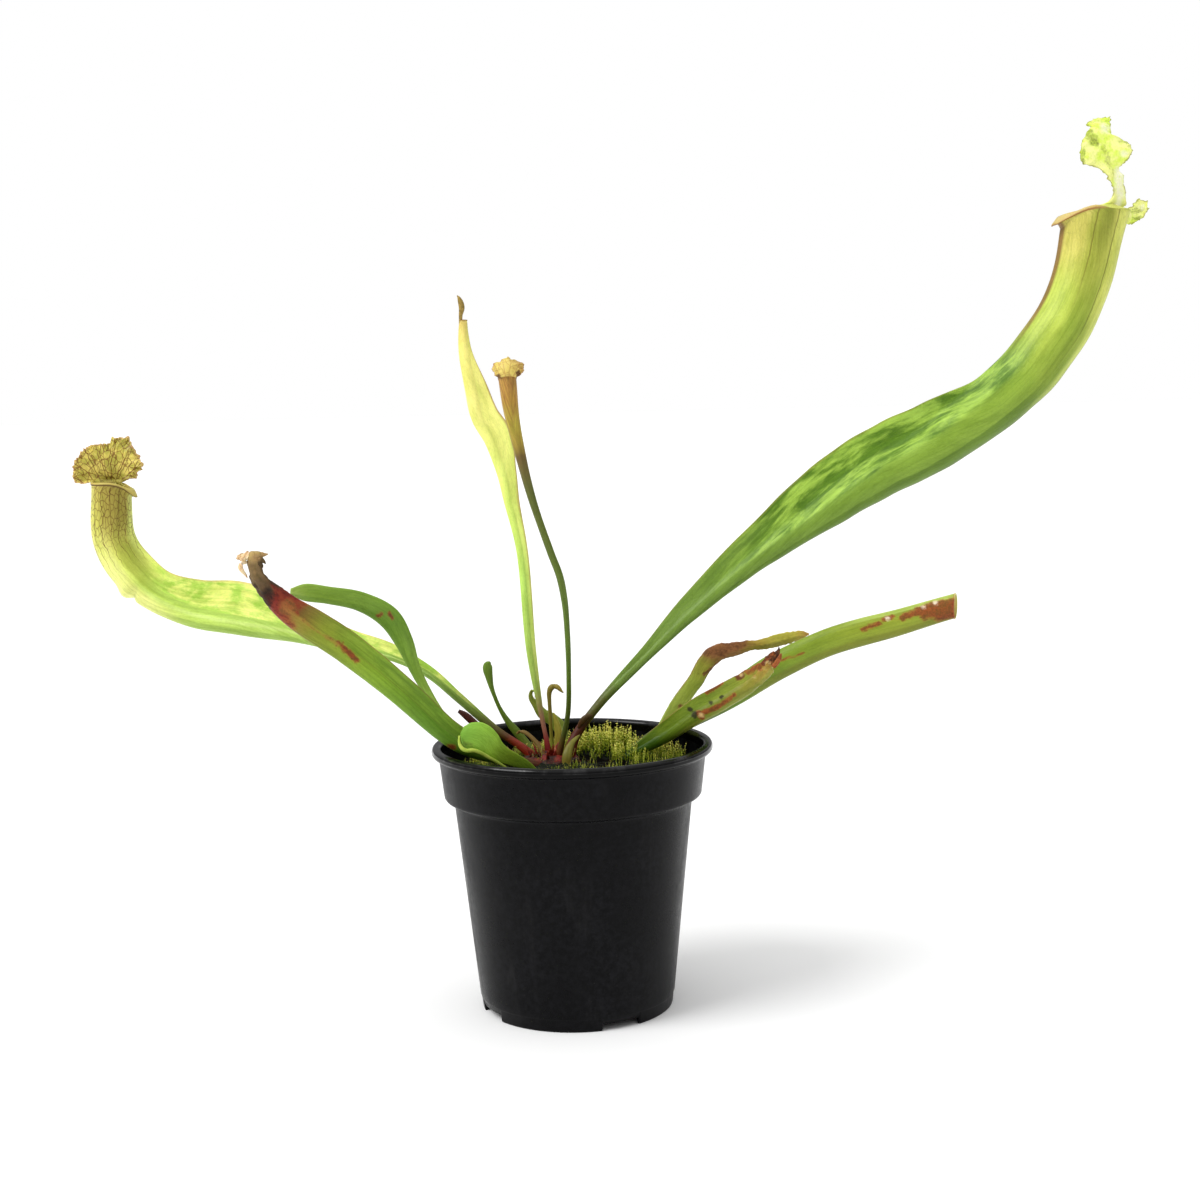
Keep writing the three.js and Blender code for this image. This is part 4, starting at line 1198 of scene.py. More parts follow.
def tall_right() -> Leaf:
    """The tallest pitcher, with its broad waved wing, stalked lid and flap."""
    finish = LeafFinish(
        "waxy_green_pitcher",
        tones((0.0, 116, 20, 16), (0.025, 96, 26, 18), (0.05, 78, 44, 20), (0.085, 92, 98, 36),
              (0.11, 114, 142, 56), (0.3, 120, 152, 56), (0.55, 132, 164, 56), (0.75, 148, 178, 62),
              (0.85, 186, 204, 84), (0.94, 208, 212, 98), (1.0, 210, 206, 104)),
        bands=(
            # Painted shade: dark olive down the underside of the tube, the side away from the wing.
            Band(rgb(102, 134, 34), (0.66, 1.1), (0.1, 0.79), 0.9, 0.012),
            Band(rgb(150, 174, 58), (0.45, 0.6), (0.77, 0.9), 0.7, 0.03),
            Band(rgb(138, 160, 46), (0.58, 0.76), (0.76, 0.89), 0.8, 0.03),
            Band(rgb(204, 216, 96), (0.78, 1.1), (0.77, 0.9), 0.85, 0.04),
            Band(rgb(196, 214, 88), (0.1, 0.44), (0.8, 0.91), 0.8, 0.05),
            Band(rgb(226, 212, 114), (-1.0, 0.4), (0.93, 1.1), 0.8, 0.08, 0.05),
            Band(rgb(164, 170, 62), (0.38, 0.62), (0.9, 1.1), 0.8, 0.06),
            Band(rgb(140, 146, 52), (0.49, 0.6), (0.955, 1.1), 0.7, 0.04, 0.03),
            Band(rgb(222, 226, 108), (0.67, 1.1), (0.87, 1.1), 0.9, 0.03),
            Band(rgb(112, 98, 34), (0.43, 0.442), (0.9, 1.1), 0.7, 0.006),
            Band(rgb(112, 108, 36), (0.652, 0.664), (0.84, 1.1), 0.8, 0.006),
            Band(rgb(140, 92, 48), (-1.0, 0.09), (0.8, 1.1), 0.85, 0.03),
            # Painted shade: a thin dark line along the tube's far edge, where its surface turns away.
            Band(rgb(100, 108, 34), (0.91, 1.1), (0.1, 1.1), 0.6, 0.03)),
        wing=rgb(172, 208, 82), wing_dark=rgb(90, 130, 22), wing_strength=0.95, mottle_turn=0.34,
        wing_start=0.34, wing_end=0.84, mottle=(6.0, 24.0), vein=rgb(128, 120, 50),
        vein_shares=(0.92, 1.0), vein_strength=0.26, vein_cell=(2.2, 5.0), vein_halo=0.05,
        lid=rgb(252, 255, 158), lid_dark=rgb(222, 246, 92), margin=rgb(128, 124, 50), margin_strength=0.65,
        lip=rgb(206, 184, 112), hem=rgb(160, 108, 54), inner=rgb(226, 214, 130), rust=rgb(160, 176, 66),
        dark=rgb(96, 60, 34), pale=rgb(255, 255, 216))
    lid = Lid(
        left=((213.6, 30, 309.6), (217.8, 31.5, 310.9), (220.4, 33, 313.1), (221.5, 33.5, 316.8),
              (220.0, 33.5, 320.0), (218.3, 33, 322.3), (215.7, 32.5, 324.4), (213.1, 32, 325.8),
              (210.2, 31.5, 325.8), (207.8, 31, 327.1), (207.2, 31, 330.1), (207.5, 31.5, 332.8),
              (208.6, 32.5, 336.1), (210.3, 33.5, 338.9), (212.3, 34.5, 341.2), (210.7, 34.5, 342.4),
              (212.7, 35, 344.0), (215.8, 36, 344.9), (219.1, 36.5, 345.5)),
        middle=(
            (221.9, 34, 311.0), (222.8, 34.5, 312.6), (223.8, 35, 314.6), (223.8, 35, 316.9),
            (223.0, 34.6, 319.7), (222.0, 34, 322.3), (220.4, 33.4, 325.0), (218.6, 33, 327.4),
            (217.3, 32.6, 329.7), (216.4, 32.4, 332.0), (216.1, 32.6, 334.0), (216.0, 33, 336.0),
            (215.9, 33.4, 338.0), (216.0, 34, 340.1), (216.6, 34.6, 341.3), (217.3, 35, 342.3),
            (218.1, 35.6, 343.4), (219.0, 36, 344.4), (219.7, 36.4, 345.2)),
        right=((228.0, 38, 310.9), (227.9, 38, 312.9), (227.6, 37.5, 314.8), (227.0, 37, 317.5),
               (226.4, 36.5, 320.2), (226.0, 36, 322.5), (224.2, 35.5, 325.0), (225.3, 35, 326.9),
               (227.7, 34.5, 329.0), (229.6, 35, 331.5), (228.9, 36, 333.8), (227.7, 36.5, 335.7),
               (225.2, 36.5, 336.9), (222.6, 36.5, 336.8), (221.3, 36, 337.1), (220.5, 36, 339.9),
               (220.6, 36.3, 342.7), (221.3, 36.6, 344.4), (220.6, 36.8, 345.5)),
        roots=(100, 180, 262), hub=(222, 312), ruffle=0.4, ruffles=7, fray=0.5, rows=120)
    flap = Lid(
        left=((226.9, 37, 308.4), (229.4, 37.5, 309.8), (231.0, 38, 310.6), (232.0, 38.5, 312.2),
              (233.5, 39, 313.3), (235.3, 39, 312.6), (237.0, 39, 312.4)),
        middle=((227.2, 38, 306.5), (229.9, 38.8, 307.6), (231.7, 39.6, 308.4), (233.5, 40, 309.2),
                (235.0, 39.8, 309.5), (236.2, 39.6, 310.1), (237.0, 39, 310.4)),
        right=((227.2, 38.5, 303.8), (229.6, 39, 303.2), (231.8, 39.6, 303.8), (233.8, 40.2, 304.8),
               (235.9, 40.4, 306.0), (236.7, 40, 307.9), (237.3, 39.2, 309.8)),
        hub=(226, 308), ruffle=0.5, ruffles=2.2, fray=0.4, rows=48, columns=33)
    bract = Spur(
        ((2.6, 9, 108.2, 0.6), (4.0, 8.8, 110.6, 1.2), (5.4, 8.6, 112.2, 1.3), (6.9, 8.5, 113.1, 0.9),
         (8.3, 8.6, 113.2, 0.3)),
        0.6, (("share", 0.055),))
    return Leaf(
        "pitcher_tall_right", "leaf_green", finish,
        ((-2, 9, 95, 1.6, 0), (1, 10, 104, 1.8, 0), (11, 11, 117, 1.6, 0.3), (31, 13, 136, 1.8, 2.3),
         (49, 15, 152, 2.5, 5), (75, 18, 172, 3.9, 8.4), (103, 21, 190, 6.1, 12),
         (125, 24, 203, 7.8, 12.3), (151, 27, 217, 9.5, 8.9), (174, 29, 233, 10.5, 2.4),
         (193, 31, 252, 11.7, 0.8), (207, 33, 276, 11.9, 0), (215, 34, 308, 12.7, 0)),
        up=(-1, 0, 1), flat=0.88, wave=1.3, rings=300, sheath=0.9,
        mouth=Mouth(120, (2.8, 2.0, 2.8), 3.0, 2.4, 1.0, rolled=(-0.3, 0.4), least=0.04), lids=(lid, flap),
        spurs=(bract,),
        patches=(
            Patch(RUST, (211.2, 32.5, 339.6), 2.6, 0.62, (213.4, 32.5, 335.6)),
            Patch(RUST, (208.6, 31, 331.5), 1.2, 0.55, (208.2, 31, 327.6)),
            Patch(RUST, (221.8, 36, 336.0), 1.9, 0.62, (227.2, 36.5, 334.8)),
            Patch(RUST, (221.6, 33, 321.5), 1.4, 0.34, (216.6, 32.5, 334)),
            Patch(RUST, (230.5, 39.5, 308.5), 1.3, 0.5, (235.0, 39.5, 309.2)),
            Patch(RUST, (231.5, 39.5, 305.2), 1.0, 0.5, (234.8, 39.5, 306.2)),
            Patch(PALE, (217.8, 35, 340.6), 2.4, 0.8), Patch(PALE, (225.2, 35, 330.4), 2.0, 0.9),
            Patch(PALE, (224.6, 36, 311), 2.4, 1.0, (224.0, 34.8, 323)),
            Patch(PALE, (235.2, 39.6, 310), 1.3, 0.8)),
        seed=3)


def veined_left() -> Leaf:
    """The low pitcher on the left, with its net of red veins."""
    finish = LeafFinish(
        "veined_lime_pitcher",
        tones((0.0, 150, 36, 22), (0.045, 140, 48, 24), (0.07, 98, 58, 28), (0.105, 92, 84, 34),
              (0.15, 108, 132, 48), (0.25, 132, 168, 68), (0.4, 176, 210, 98), (0.6, 204, 234, 114),
              (0.78, 210, 238, 104), (0.86, 240, 248, 118), (0.92, 236, 232, 116), (1.0, 214, 196, 100)),
        bands=(
            Band(rgb(158, 190, 78), (0.2, 0.36), (0.2, 0.8), 0.5, 0.03),
            Band(rgb(240, 250, 140), (-1.0, 0.16), (0.84, 1.1), 0.85, 0.03),
            # Painted highlight: a pale stripe along the middle of the tube's lower part.
            Band(rgb(232, 248, 160), (0.4, 0.5), (0.25, 0.8), 0.45, 0.04),
            # Painted shade: darker green on the underside of the tube.
            Band(rgb(150, 184, 80), (0.64, 1.1), (0.2, 0.76), 0.6, 0.02),
            Band(rgb(168, 176, 62), (0.1, 0.42), (0.8, 0.9), 0.7, 0.05),
            Band(rgb(164, 146, 58), (0.12, 0.62), (0.9, 1.1), 0.8, 0.1),
            Band(rgb(255, 255, 160), (0.5, 1.1), (0.74, 0.885), 0.95, 0.08),
            Band(rgb(255, 250, 142), (0.78, 1.1), (0.88, 1.1), 0.8, 0.06)),
        wing=rgb(250, 255, 140), wing_dark=rgb(182, 222, 86), wing_strength=0.85, mottle=(6.5, 11.0),
        mottle_turn=0.2, wing_end=0.84, vein=rgb(94, 52, 16), vein_shares=(0.86, 0.94), vein_strength=0.9,
        vein_cell=(1.6, 3.0), vein_halo=0.1, lid=rgb(228, 210, 104), lid_dark=rgb(180, 172, 70),
        lid_vein=rgb(112, 60, 24), lid_vein_strength=0.92, lid_rays=3.6, margin=rgb(216, 170, 124),
        margin_strength=0.55, lip=rgb(206, 188, 98), hem=rgb(84, 50, 14), inner=rgb(190, 170, 84))
    lid = Lid(
        left=((-192.3, 40, 208.8), (-195.0, 41, 208.4), (-197.6, 41.5, 208.0), (-199.7, 42, 208.6),
              (-200.6, 42, 210.7), (-200.6, 42.5, 212.9), (-200.3, 43, 214.7), (-199.8, 43.5, 217.5),
              (-198.5, 44, 219.3), (-196.7, 44.5, 221.5), (-194.9, 45, 222.7), (-193.4, 45.5, 223.6),
              (-191.2, 46, 223.9), (-188.7, 46.5, 224.2), (-187.1, 46.5, 223.8), (-186.3, 46.3, 223.0)),
        middle=((-188.6, 46.5, 209.6), (-188.4, 46, 210.8), (-188.2, 45.6, 212.2), (-188.1, 45.2, 213.6),
                (-188.0, 45, 215.0), (-187.8, 44.8, 216.4), (-187.5, 44.8, 217.8), (-187.2, 45, 219.2),
                (-186.9, 45.3, 220.4), (-186.6, 45.6, 221.4), (-186.4, 46, 222.2)),
        right=((-182.2, 45, 208.0), (-180.4, 44.5, 208.6), (-178.6, 44, 209.3), (-176.9, 43.5, 209.9),
               (-174.9, 43, 210.3), (-174.3, 43.2, 212.3), (-173.5, 43.4, 213.5), (-172.5, 43.6, 214.1),
               (-173.0, 44, 216.7), (-174.5, 44.6, 219.4), (-176.1, 45.2, 222.4), (-177.5, 45.7, 225.1),
               (-178.1, 46, 226.1), (-180.0, 46.3, 226.0), (-181.7, 46.5, 226.8), (-183.3, 46.6, 226.2),
               (-184.8, 46.7, 226.7), (-185.2, 46.6, 225.1), (-185.9, 46.5, 223.6)),
        roots=(196, 118, 48), hub=(-187, 203), ruffle=0.55, ruffles=7, fray=0.5, rows=130, columns=73)
    return Leaf(
        "pitcher_veined_left", "leaf_lime", finish,
        ((-14, 12, 95, 1.5, 0), (-21, 13, 101, 1.5, 0), (-30, 14, 107, 1.5, 0.3), (-45, 16, 120, 1.5, 0.9),
         (-57, 18, 130, 1.5, 1.8), (-72, 20, 137, 1.6, 3.8), (-92, 24, 141, 2.1, 6.2),
         (-110, 28, 146, 3.4, 9.4), (-133, 32, 150, 4.6, 12.6), (-153, 35, 154, 5, 10),
         (-168, 37, 161, 5.7, 6.7), (-178, 39, 171, 7.4, 4), (-185, 40, 185, 8, 1.4),
         (-184.5, 40, 206.5, 7.9, 0)),
        up=(1, 0, 1), flat=0.9, wave=1.1, rings=240, sheath=0.5,
        mouth=Mouth(55, (0.2, 1.5, 1.4), 1.9, 2.2, 0.7, lift=0.7), lids=(lid,), crease=0.8, seed=5)


def withered_front() -> Leaf:
    """The front pitcher, dead and brown at its mouth."""
    finish = LeafFinish(
        "withering_olive_pitcher",
        tones((0.0, *BASE_RED), (0.05, *BASE_BROWN), (0.13, 96, 134, 28), (0.35, 108, 152, 34),
              (0.55, 140, 174, 46), (0.72, 150, 160, 48), (0.785, 158, 136, 52), (0.835, 150, 86, 48),
              (0.86, 76, 52, 32), (0.9, 92, 68, 44), (0.93, 124, 100, 66), (0.97, 132, 106, 68),
              (1.0, 196, 164, 106)),
        wing=rgb(134, 164, 50), wing_dark=rgb(108, 142, 36), wing_strength=0.6, wing_end=0.72,
        bands=(Band(rgb(112, 82, 36), (0.2, 0.24), strength=0.3, soft=0.02),
               Band(rgb(110, 72, 36), (-1.0, 0.3), (0.77, 0.9), 0.8, 0.06),
               Band(rgb(58, 36, 22), (-1.0, 0.2), (0.86, 0.96), 0.8, 0.06),
               Band(rgb(58, 36, 22), (0.86, 1.1), (0.85, 0.99), 0.7, 0.05)),
        lid=rgb(252, 228, 184), lid_dark=rgb(222, 176, 126), margin=rgb(150, 104, 66),
        rust=rgb(158, 108, 50), red=rgb(146, 38, 26), dark=rgb(44, 26, 16), pale=rgb(176, 140, 92),
        streaks=0.4, speckle=0.3, roughness=0.5)
    left_lobe = Lid(
        left=((-116.0, -31, 181.2), (-117.7, -31, 181.4), (-119.1, -31.5, 180.8), (-120.8, -32, 181.0),
              (-122.0, -32, 182.0)),
        middle=((-115.8, -33.4, 182.8), (-117.6, -33.2, 182.8), (-119.4, -32.8, 182.6),
                (-121.0, -32.4, 182.5), (-122.1, -32, 182.4)),
        right=((-115.4, -31, 184.6), (-116.9, -31, 184.4), (-118.6, -31.6, 184.2), (-120.5, -32, 183.7),
               (-122.0, -32, 182.8)),
        hub=(-115, 181), ruffle=0.35, ruffles=2.5, fray=0.3, rows=40, columns=31)
    curl = Spur(
        ((-117.6, -31.6, 180.6, 0.4), (-119.8, -32.4, 180.4, 0.8), (-120.7, -32.4, 179.0, 0.9),
         (-120.2, -32.2, 177.6, 0.8), (-119.2, -31.8, 176.2, 0.5), (-118.5, -31.4, 174.8, 0.2)),
        0.5, (("lid", 1.0), ("edge", 0.25)))
    horns = (
        Spur(((-114.4, -33.4, 182.6, 1.3), (-112.8, -33.2, 183.4, 1.1), (-111.6, -33, 183.4, 0.7),
              (-110.2, -33, 183.6, 0.15)),
             0.6, (("pale", 0.7), ("dark", 0.25))),
        Spur(((-114.0, -34, 181.6, 1.0), (-112.7, -33.8, 181.4, 1.1), (-111.8, -33.4, 180.8, 0.6),
              (-111.3, -33, 179.9, 0.15)),
             0.6, (("dark", 0.75),)),
        Spur(((-114.6, -34.2, 181.0, 0.8), (-113.4, -34, 180.2, 1.0), (-112.6, -33.6, 179.4, 0.6),
              (-112.3, -33.4, 178.6, 0.15)),
             0.6, (("dark", 0.95),)))
    return Leaf(
        "pitcher_withered_front", "leaf_olive", finish,
        ((-13, -1, 95, 1.6, 0), (-20, -5, 97.5, 1.9, 0.6), (-29, -9, 100.5, 2.4, 2.1),
         (-41, -13, 105.5, 2.9, 3.9), (-50, -15, 112, 3, 4), (-66, -19, 128, 3.3, 4.5),
         (-84, -23, 144, 3.7, 4.9), (-98, -27, 155, 3.9, 4.8), (-106, -29, 163, 4.1, 2.1),
         (-112, -31, 171, 3.5, 0), (-115, -32, 176, 2.8, 0), (-115.2, -32.6, 181, 2.7, 0),
         (-114.8, -33, 184.6, 1.5, 0)),
        up=(1, 0, 1), flat=0.8, wave=0.8, rings=220, sheath=0.8, lids=(left_lobe,), spurs=(curl, *horns),
        wrinkle=((0.0, 0.0), (0.82, 0.02), (0.88, 0.26), (1.0, 0.36)),
        patches=(
            Patch(RED, (-106.8, -31, 168.0), 3.0, 0.62, (-99.6, -29, 165.0)),
            Patch(RED, (-109.0, -33, 166.0), 3.4, 0.66, (-107.4, -32.5, 160.4)),
            Patch(RED, (-107.4, -32, 160.0), 2.6, 0.6, (-103.6, -31, 155.9)),
            Patch(RED, (-86.0, -27, 149.2), 1.3, 0.85, (-80.0, -25.4, 142.4)),
            Patch(RED, (-46, -16.5, 106.2), 1.9, 0.8), Patch(RUST, (-104, -32.5, 163.5), 3.4, 0.5),
            Patch(RED, (-103.7, -31.8, 164.9), 1.2, 0.7, (-99.9, -31.2, 160.6)),
            Patch(RUST, (-99.9, -31.2, 160.6), 1.0, 0.75, (-95.5, -30.2, 155.9)),
            Patch(RUST, (-95.5, -30.2, 155.9), 1.0, 0.7, (-86.5, -27, 148.6)),
            Patch(DARK, (-112.2, -30, 173.6), 1.6, 0.9, (-108.0, -28.5, 170.6)),
            Patch(DARK, (-111.4, -33, 169.0), 2.4, 0.75, (-111.6, -33, 165.6)),
            Patch(DARK, (-115.6, -33, 172.0), 0.7, 0.7, (-113.2, -33.5, 167.6)),
            Patch(PALE, (-116.6, -34, 171.6), 0.8, 0.8, (-114.6, -34, 168.8)),
            Patch(PALE, (-114.4, -35, 182.6), 1.6, 0.8), Patch(PALE, (-114.6, -35, 177), 0.9, 0.6)),
        seed=7)


def bent_left() -> Leaf:
    """The flat green leaf that bends over on the left."""
    finish = LeafFinish(
        "flat_green_leaf",
        tones((0.0, *BASE_RED), (0.1, *BASE_BROWN), (0.16, 154, 180, 80), (0.3, 174, 202, 92),
              (0.5, 146, 182, 70), (0.66, 112, 150, 44), (0.85, 136, 170, 62), (0.94, 142, 176, 68),
              (1.0, 166, 192, 92)),
        bands=(Band(rgb(92, 130, 38), (0.62, 1.1), strength=0.4),), rust=rgb(150, 92, 60))
    return Leaf(
        "phyllode_bent_left", "leaf_green", finish,
        ((-16, 5, 95, 1.2), (-29, 4, 99.5, 1.1), (-37, 3, 104.5, 1.2), (-49, 2, 114, 1.4),
         (-57, 1, 127, 1.8), (-61, 0, 136, 2.4), (-64.5, -1, 146, 3.7), (-70, -2, 155.5, 4.6),
         (-80, -4, 162, 4), (-92, -6, 165, 3.5), (-101, -7, 166.5, 3.4), (-106.5, -8, 167, 1.2)),
        flat=0.3, rings=150, sheath=0.6,
        patches=(Patch(RED, (-73.6, -4.0, 156.2), 0.8, 0.9, (-72.2, -4.0, 157.0)),
                 Patch(RED, (-69.6, -3.6, 157.2), 0.8, 0.9, (-68.4, -3.4, 155.4))),
        seed=11)


def young_yellow() -> Leaf:
    """The slim yellow pitcher in the middle, with its small beak."""
    finish = LeafFinish(
        "pale_yellow_pitcher",
        tones((0.0, 118, 20, 24), (0.045, 136, 40, 40), (0.085, 156, 104, 84), (0.125, 158, 144, 84),
              (0.17, 166, 192, 88), (0.4, 200, 238, 112), (0.6, 232, 250, 126), (0.8, 255, 250, 146),
              (0.95, 255, 244, 138), (1.0, 214, 180, 100)),
        bands=(Band(rgb(164, 108, 66), (-1.0, 0.02), (0.5, 1.1), 0.75, 0.012),
               Band(rgb(164, 108, 66), (-1.0, 0.055), (0.3, 0.62), 0.6, 0.012)),
        wing=rgb(246, 240, 140), wing_dark=rgb(226, 236, 120), wing_strength=0.35, lip=rgb(132, 92, 48),
        inner=rgb(120, 88, 40), margin=rgb(158, 104, 66), streaks=0.06, rust=rgb(150, 125, 60))
    beak = Spur(
        ((-40.0, 21.6, 268.5, 0.7), (-39.9, 21.4, 271.5, 0.75), (-39.4, 21.3, 274.6, 1.15),
         (-39.9, 21.4, 277.2, 1.0), (-40.6, 21.5, 278.8, 0.5), (-41.1, 21.6, 279.4, 0.15)),
        0.5, (("rust", 0.75),))
    return Leaf(
        "pitcher_young_yellow", "leaf_yellow", finish,
        ((-9.5, 10.5, 95, 1, 0), (-10, 11, 102, 0.9, 0), (-12, 12, 113, 0.9, 0.2),
         (-16, 14, 139, 1.4, 1.2), (-19, 16, 179, 1.4, 1.8), (-23, 17, 198, 1.7, 2.7),
         (-25.2, 18, 209, 1.9, 3.9), (-29.6, 19, 222, 2.3, 6.9), (-34.2, 20, 231, 2.6, 6.2),
         (-36.6, 21, 243, 2.6, 4), (-38.8, 22, 256, 2.2, 1.1), (-39.2, 22, 264, 1.8, 0.3),
         (-39, 22, 269.6, 1.55, 0)),
        up=(1, 0, 0.4), flat=0.8, wave=0.5, rings=200, sheath=0.5, mouth=Mouth(3, roll=0.2), spurs=(beak,),
        seed=13)


def hooded_centre() -> Leaf:
    """The thin olive pitcher in the middle, under a small hood."""
    finish = LeafFinish(
        "olive_hooded_pitcher",
        tones((0.0, 112, 26, 18), (0.04, 98, 56, 26), (0.09, 80, 86, 30), (0.25, 96, 124, 36),
              (0.42, 98, 122, 40), (0.72, 100, 106, 44), (0.81, 116, 92, 46), (0.845, 176, 152, 62),
              (0.89, 192, 176, 68), (0.94, 200, 156, 68), (1.0, 206, 158, 84)),
        vein=rgb(120, 62, 34), vein_shares=(0.8, 0.95), vein_strength=0.4, vein_cell=(1.2, 14.0),
        lid=rgb(222, 200, 104), lid_dark=rgb(192, 158, 78), lid_vein=rgb(150, 76, 42),
        lid_vein_strength=0.45, margin=rgb(170, 100, 60), lip=rgb(110, 52, 34), inner=rgb(120, 70, 40),
        dark=rgb(92, 40, 26), streaks=0.35)
    hood = Lid(
        left=((-24.2, -20.5, 246.4), (-25.4, -19.8, 247.2), (-26.2, -18.8, 248.6), (-26.6, -18, 250.4),
              (-25.2, -17.4, 251.8), (-23.2, -17, 252.2), (-21.4, -16.5, 253.6)),
        middle=((-21.0, -22.4, 247.2), (-21.0, -22.6, 248.4), (-21.0, -22.4, 249.6), (-21.0, -21.8, 250.8),
                (-20.9, -20.8, 251.8), (-20.9, -19.4, 252.8), (-20.9, -17.5, 253.8)),
        right=((-17.4, -20.5, 246.6), (-15.9, -19.8, 247.4), (-15.0, -18.8, 248.8), (-14.7, -18, 250.8),
               (-16.0, -17.4, 252.1), (-18.4, -17, 252.3), (-20.4, -16.5, 253.6)),
        roots=(95, 180, 265), hub=(-21, 243), ruffle=0.3, ruffles=5, rows=60, columns=49)
    return Leaf(
        "pitcher_hooded_centre", "leaf_olive", finish,
        ((-6, 4, 95, 1.2), (-5, 3, 100, 1.2), (-1.5, 0, 115, 1.1), (-0.7, -5, 133, 1.1),
         (-0.9, -8.4, 149, 1.2), (-1.6, -11.2, 161, 1.4), (-3.3, -13, 171, 1.6), (-6.4, -14, 180, 1.6),
         (-13, -16, 201, 1.7), (-17.6, -18, 221, 2.4), (-19.8, -18, 233, 3.2), (-21, -18, 246, 3.7)),
        up=(0, 1, 0.2), flat=0.9, rings=170, sheath=0.5, mouth=Mouth(14, (2, 0.7, 0), 0.6, 0.4, 0.4),
        lids=(hood,),
        patches=(Patch(DARK, (-23.6, -20.5, 247.2), 1.5, 0.9),
                 Patch(DARK, (-17.2, -20.5, 247.6), 1.5, 0.9), Patch(DARK, (-20.5, -22, 243), 1.0, 0.35)),
        seed=17)


def cut_right() -> Leaf:
    """The thick pitcher on the right, cut off square, with rust along its end."""
    finish = LeafFinish(
        "cut_green_pitcher",
        # The very dark green foot of the tube is partly its own colour and partly painted shade low in the
        # pot.
        tones((0.0, 42, 70, 2), (0.14, 50, 78, 3), (0.25, 82, 112, 16), (0.4, 118, 148, 36),
              (0.6, 136, 158, 42), (0.8, 148, 162, 46), (1.0, 156, 168, 54)),
        bands=(Band(rgb(186, 206, 100), (-1.0, 0.2), (0.72, 1.1), 0.75, 0.03),
               Band(rgb(128, 132, 36), (0.62, 1.1), (0.4, 1.1), 0.7, 0.06),
               # Painted shade: a thin dark line along the tube's far edge, where its surface turns away.
               Band(rgb(104, 104, 34), (0.93, 1.1), (0.1, 1.1), 0.6, 0.012)),
        lip=rgb(228, 216, 128), hem=rgb(150, 92, 44), inner=rgb(206, 186, 100), rust=rgb(146, 52, 24),
        pale=rgb(250, 238, 208), streaks=0.22)
    dots = ((125.0, 3.2, 150.1), (138.5, 1.6, 154.4), (143.2, 1.4, 156.0))
    return Leaf(
        "pitcher_cut_right", "leaf_green", finish,
        ((20, 15.6, 95.4, 1.1), (26, 16.6, 98.2, 2.5), (33, 17, 102, 3.4), (47, 16, 110, 4.4),
         (67, 14, 121, 5.2), (83, 12, 131, 5.6), (100, 10, 139, 5.7), (115, 8, 144, 5.5),
         (130, 6, 148, 5.1), (151, 3, 154, 4.8)),
        up=(-1, 0, 1), flat=0.62, rings=180, mouth=Mouth(32, (-1.3, 0.0, 0.0), roll=0.3, skew=1.0),
        patches=(
            Patch(RUST, (130.5, 2.6, 150.4), 1.4, 0.9, (137.0, 1.9, 152.2)),
            Patch(RUST, (139.5, 1.6, 152.4), 3.2, 0.95, (153, 0, 154.5)),
            Patch(RUST, (145.0, 0.8, 152.0), 3.4, 0.95, (153, 0, 152)),
            Patch(RUST, (136.0, 2.0, 153.4), 1.2, 0.8, (146, 1.2, 156.2)),
            Patch(RUST, (123.4, 3.4, 149.7), 1.1, 0.95, (126.6, 3.2, 150.5)),
            Patch(RUST, (115.2, 4.5, 145.5), 0.9, 0.85, (121.4, 3.9, 147.8)),
            Patch(RUST, (83.7, 8.3, 133.7), 0.6, 0.8, (91.9, 7.2, 136.4)),
            Patch(RUST, (104.5, 6.6, 147.3), 0.8, 0.8), *(Patch(PALE, dot, 0.9) for dot in dots)),
        seed=19)


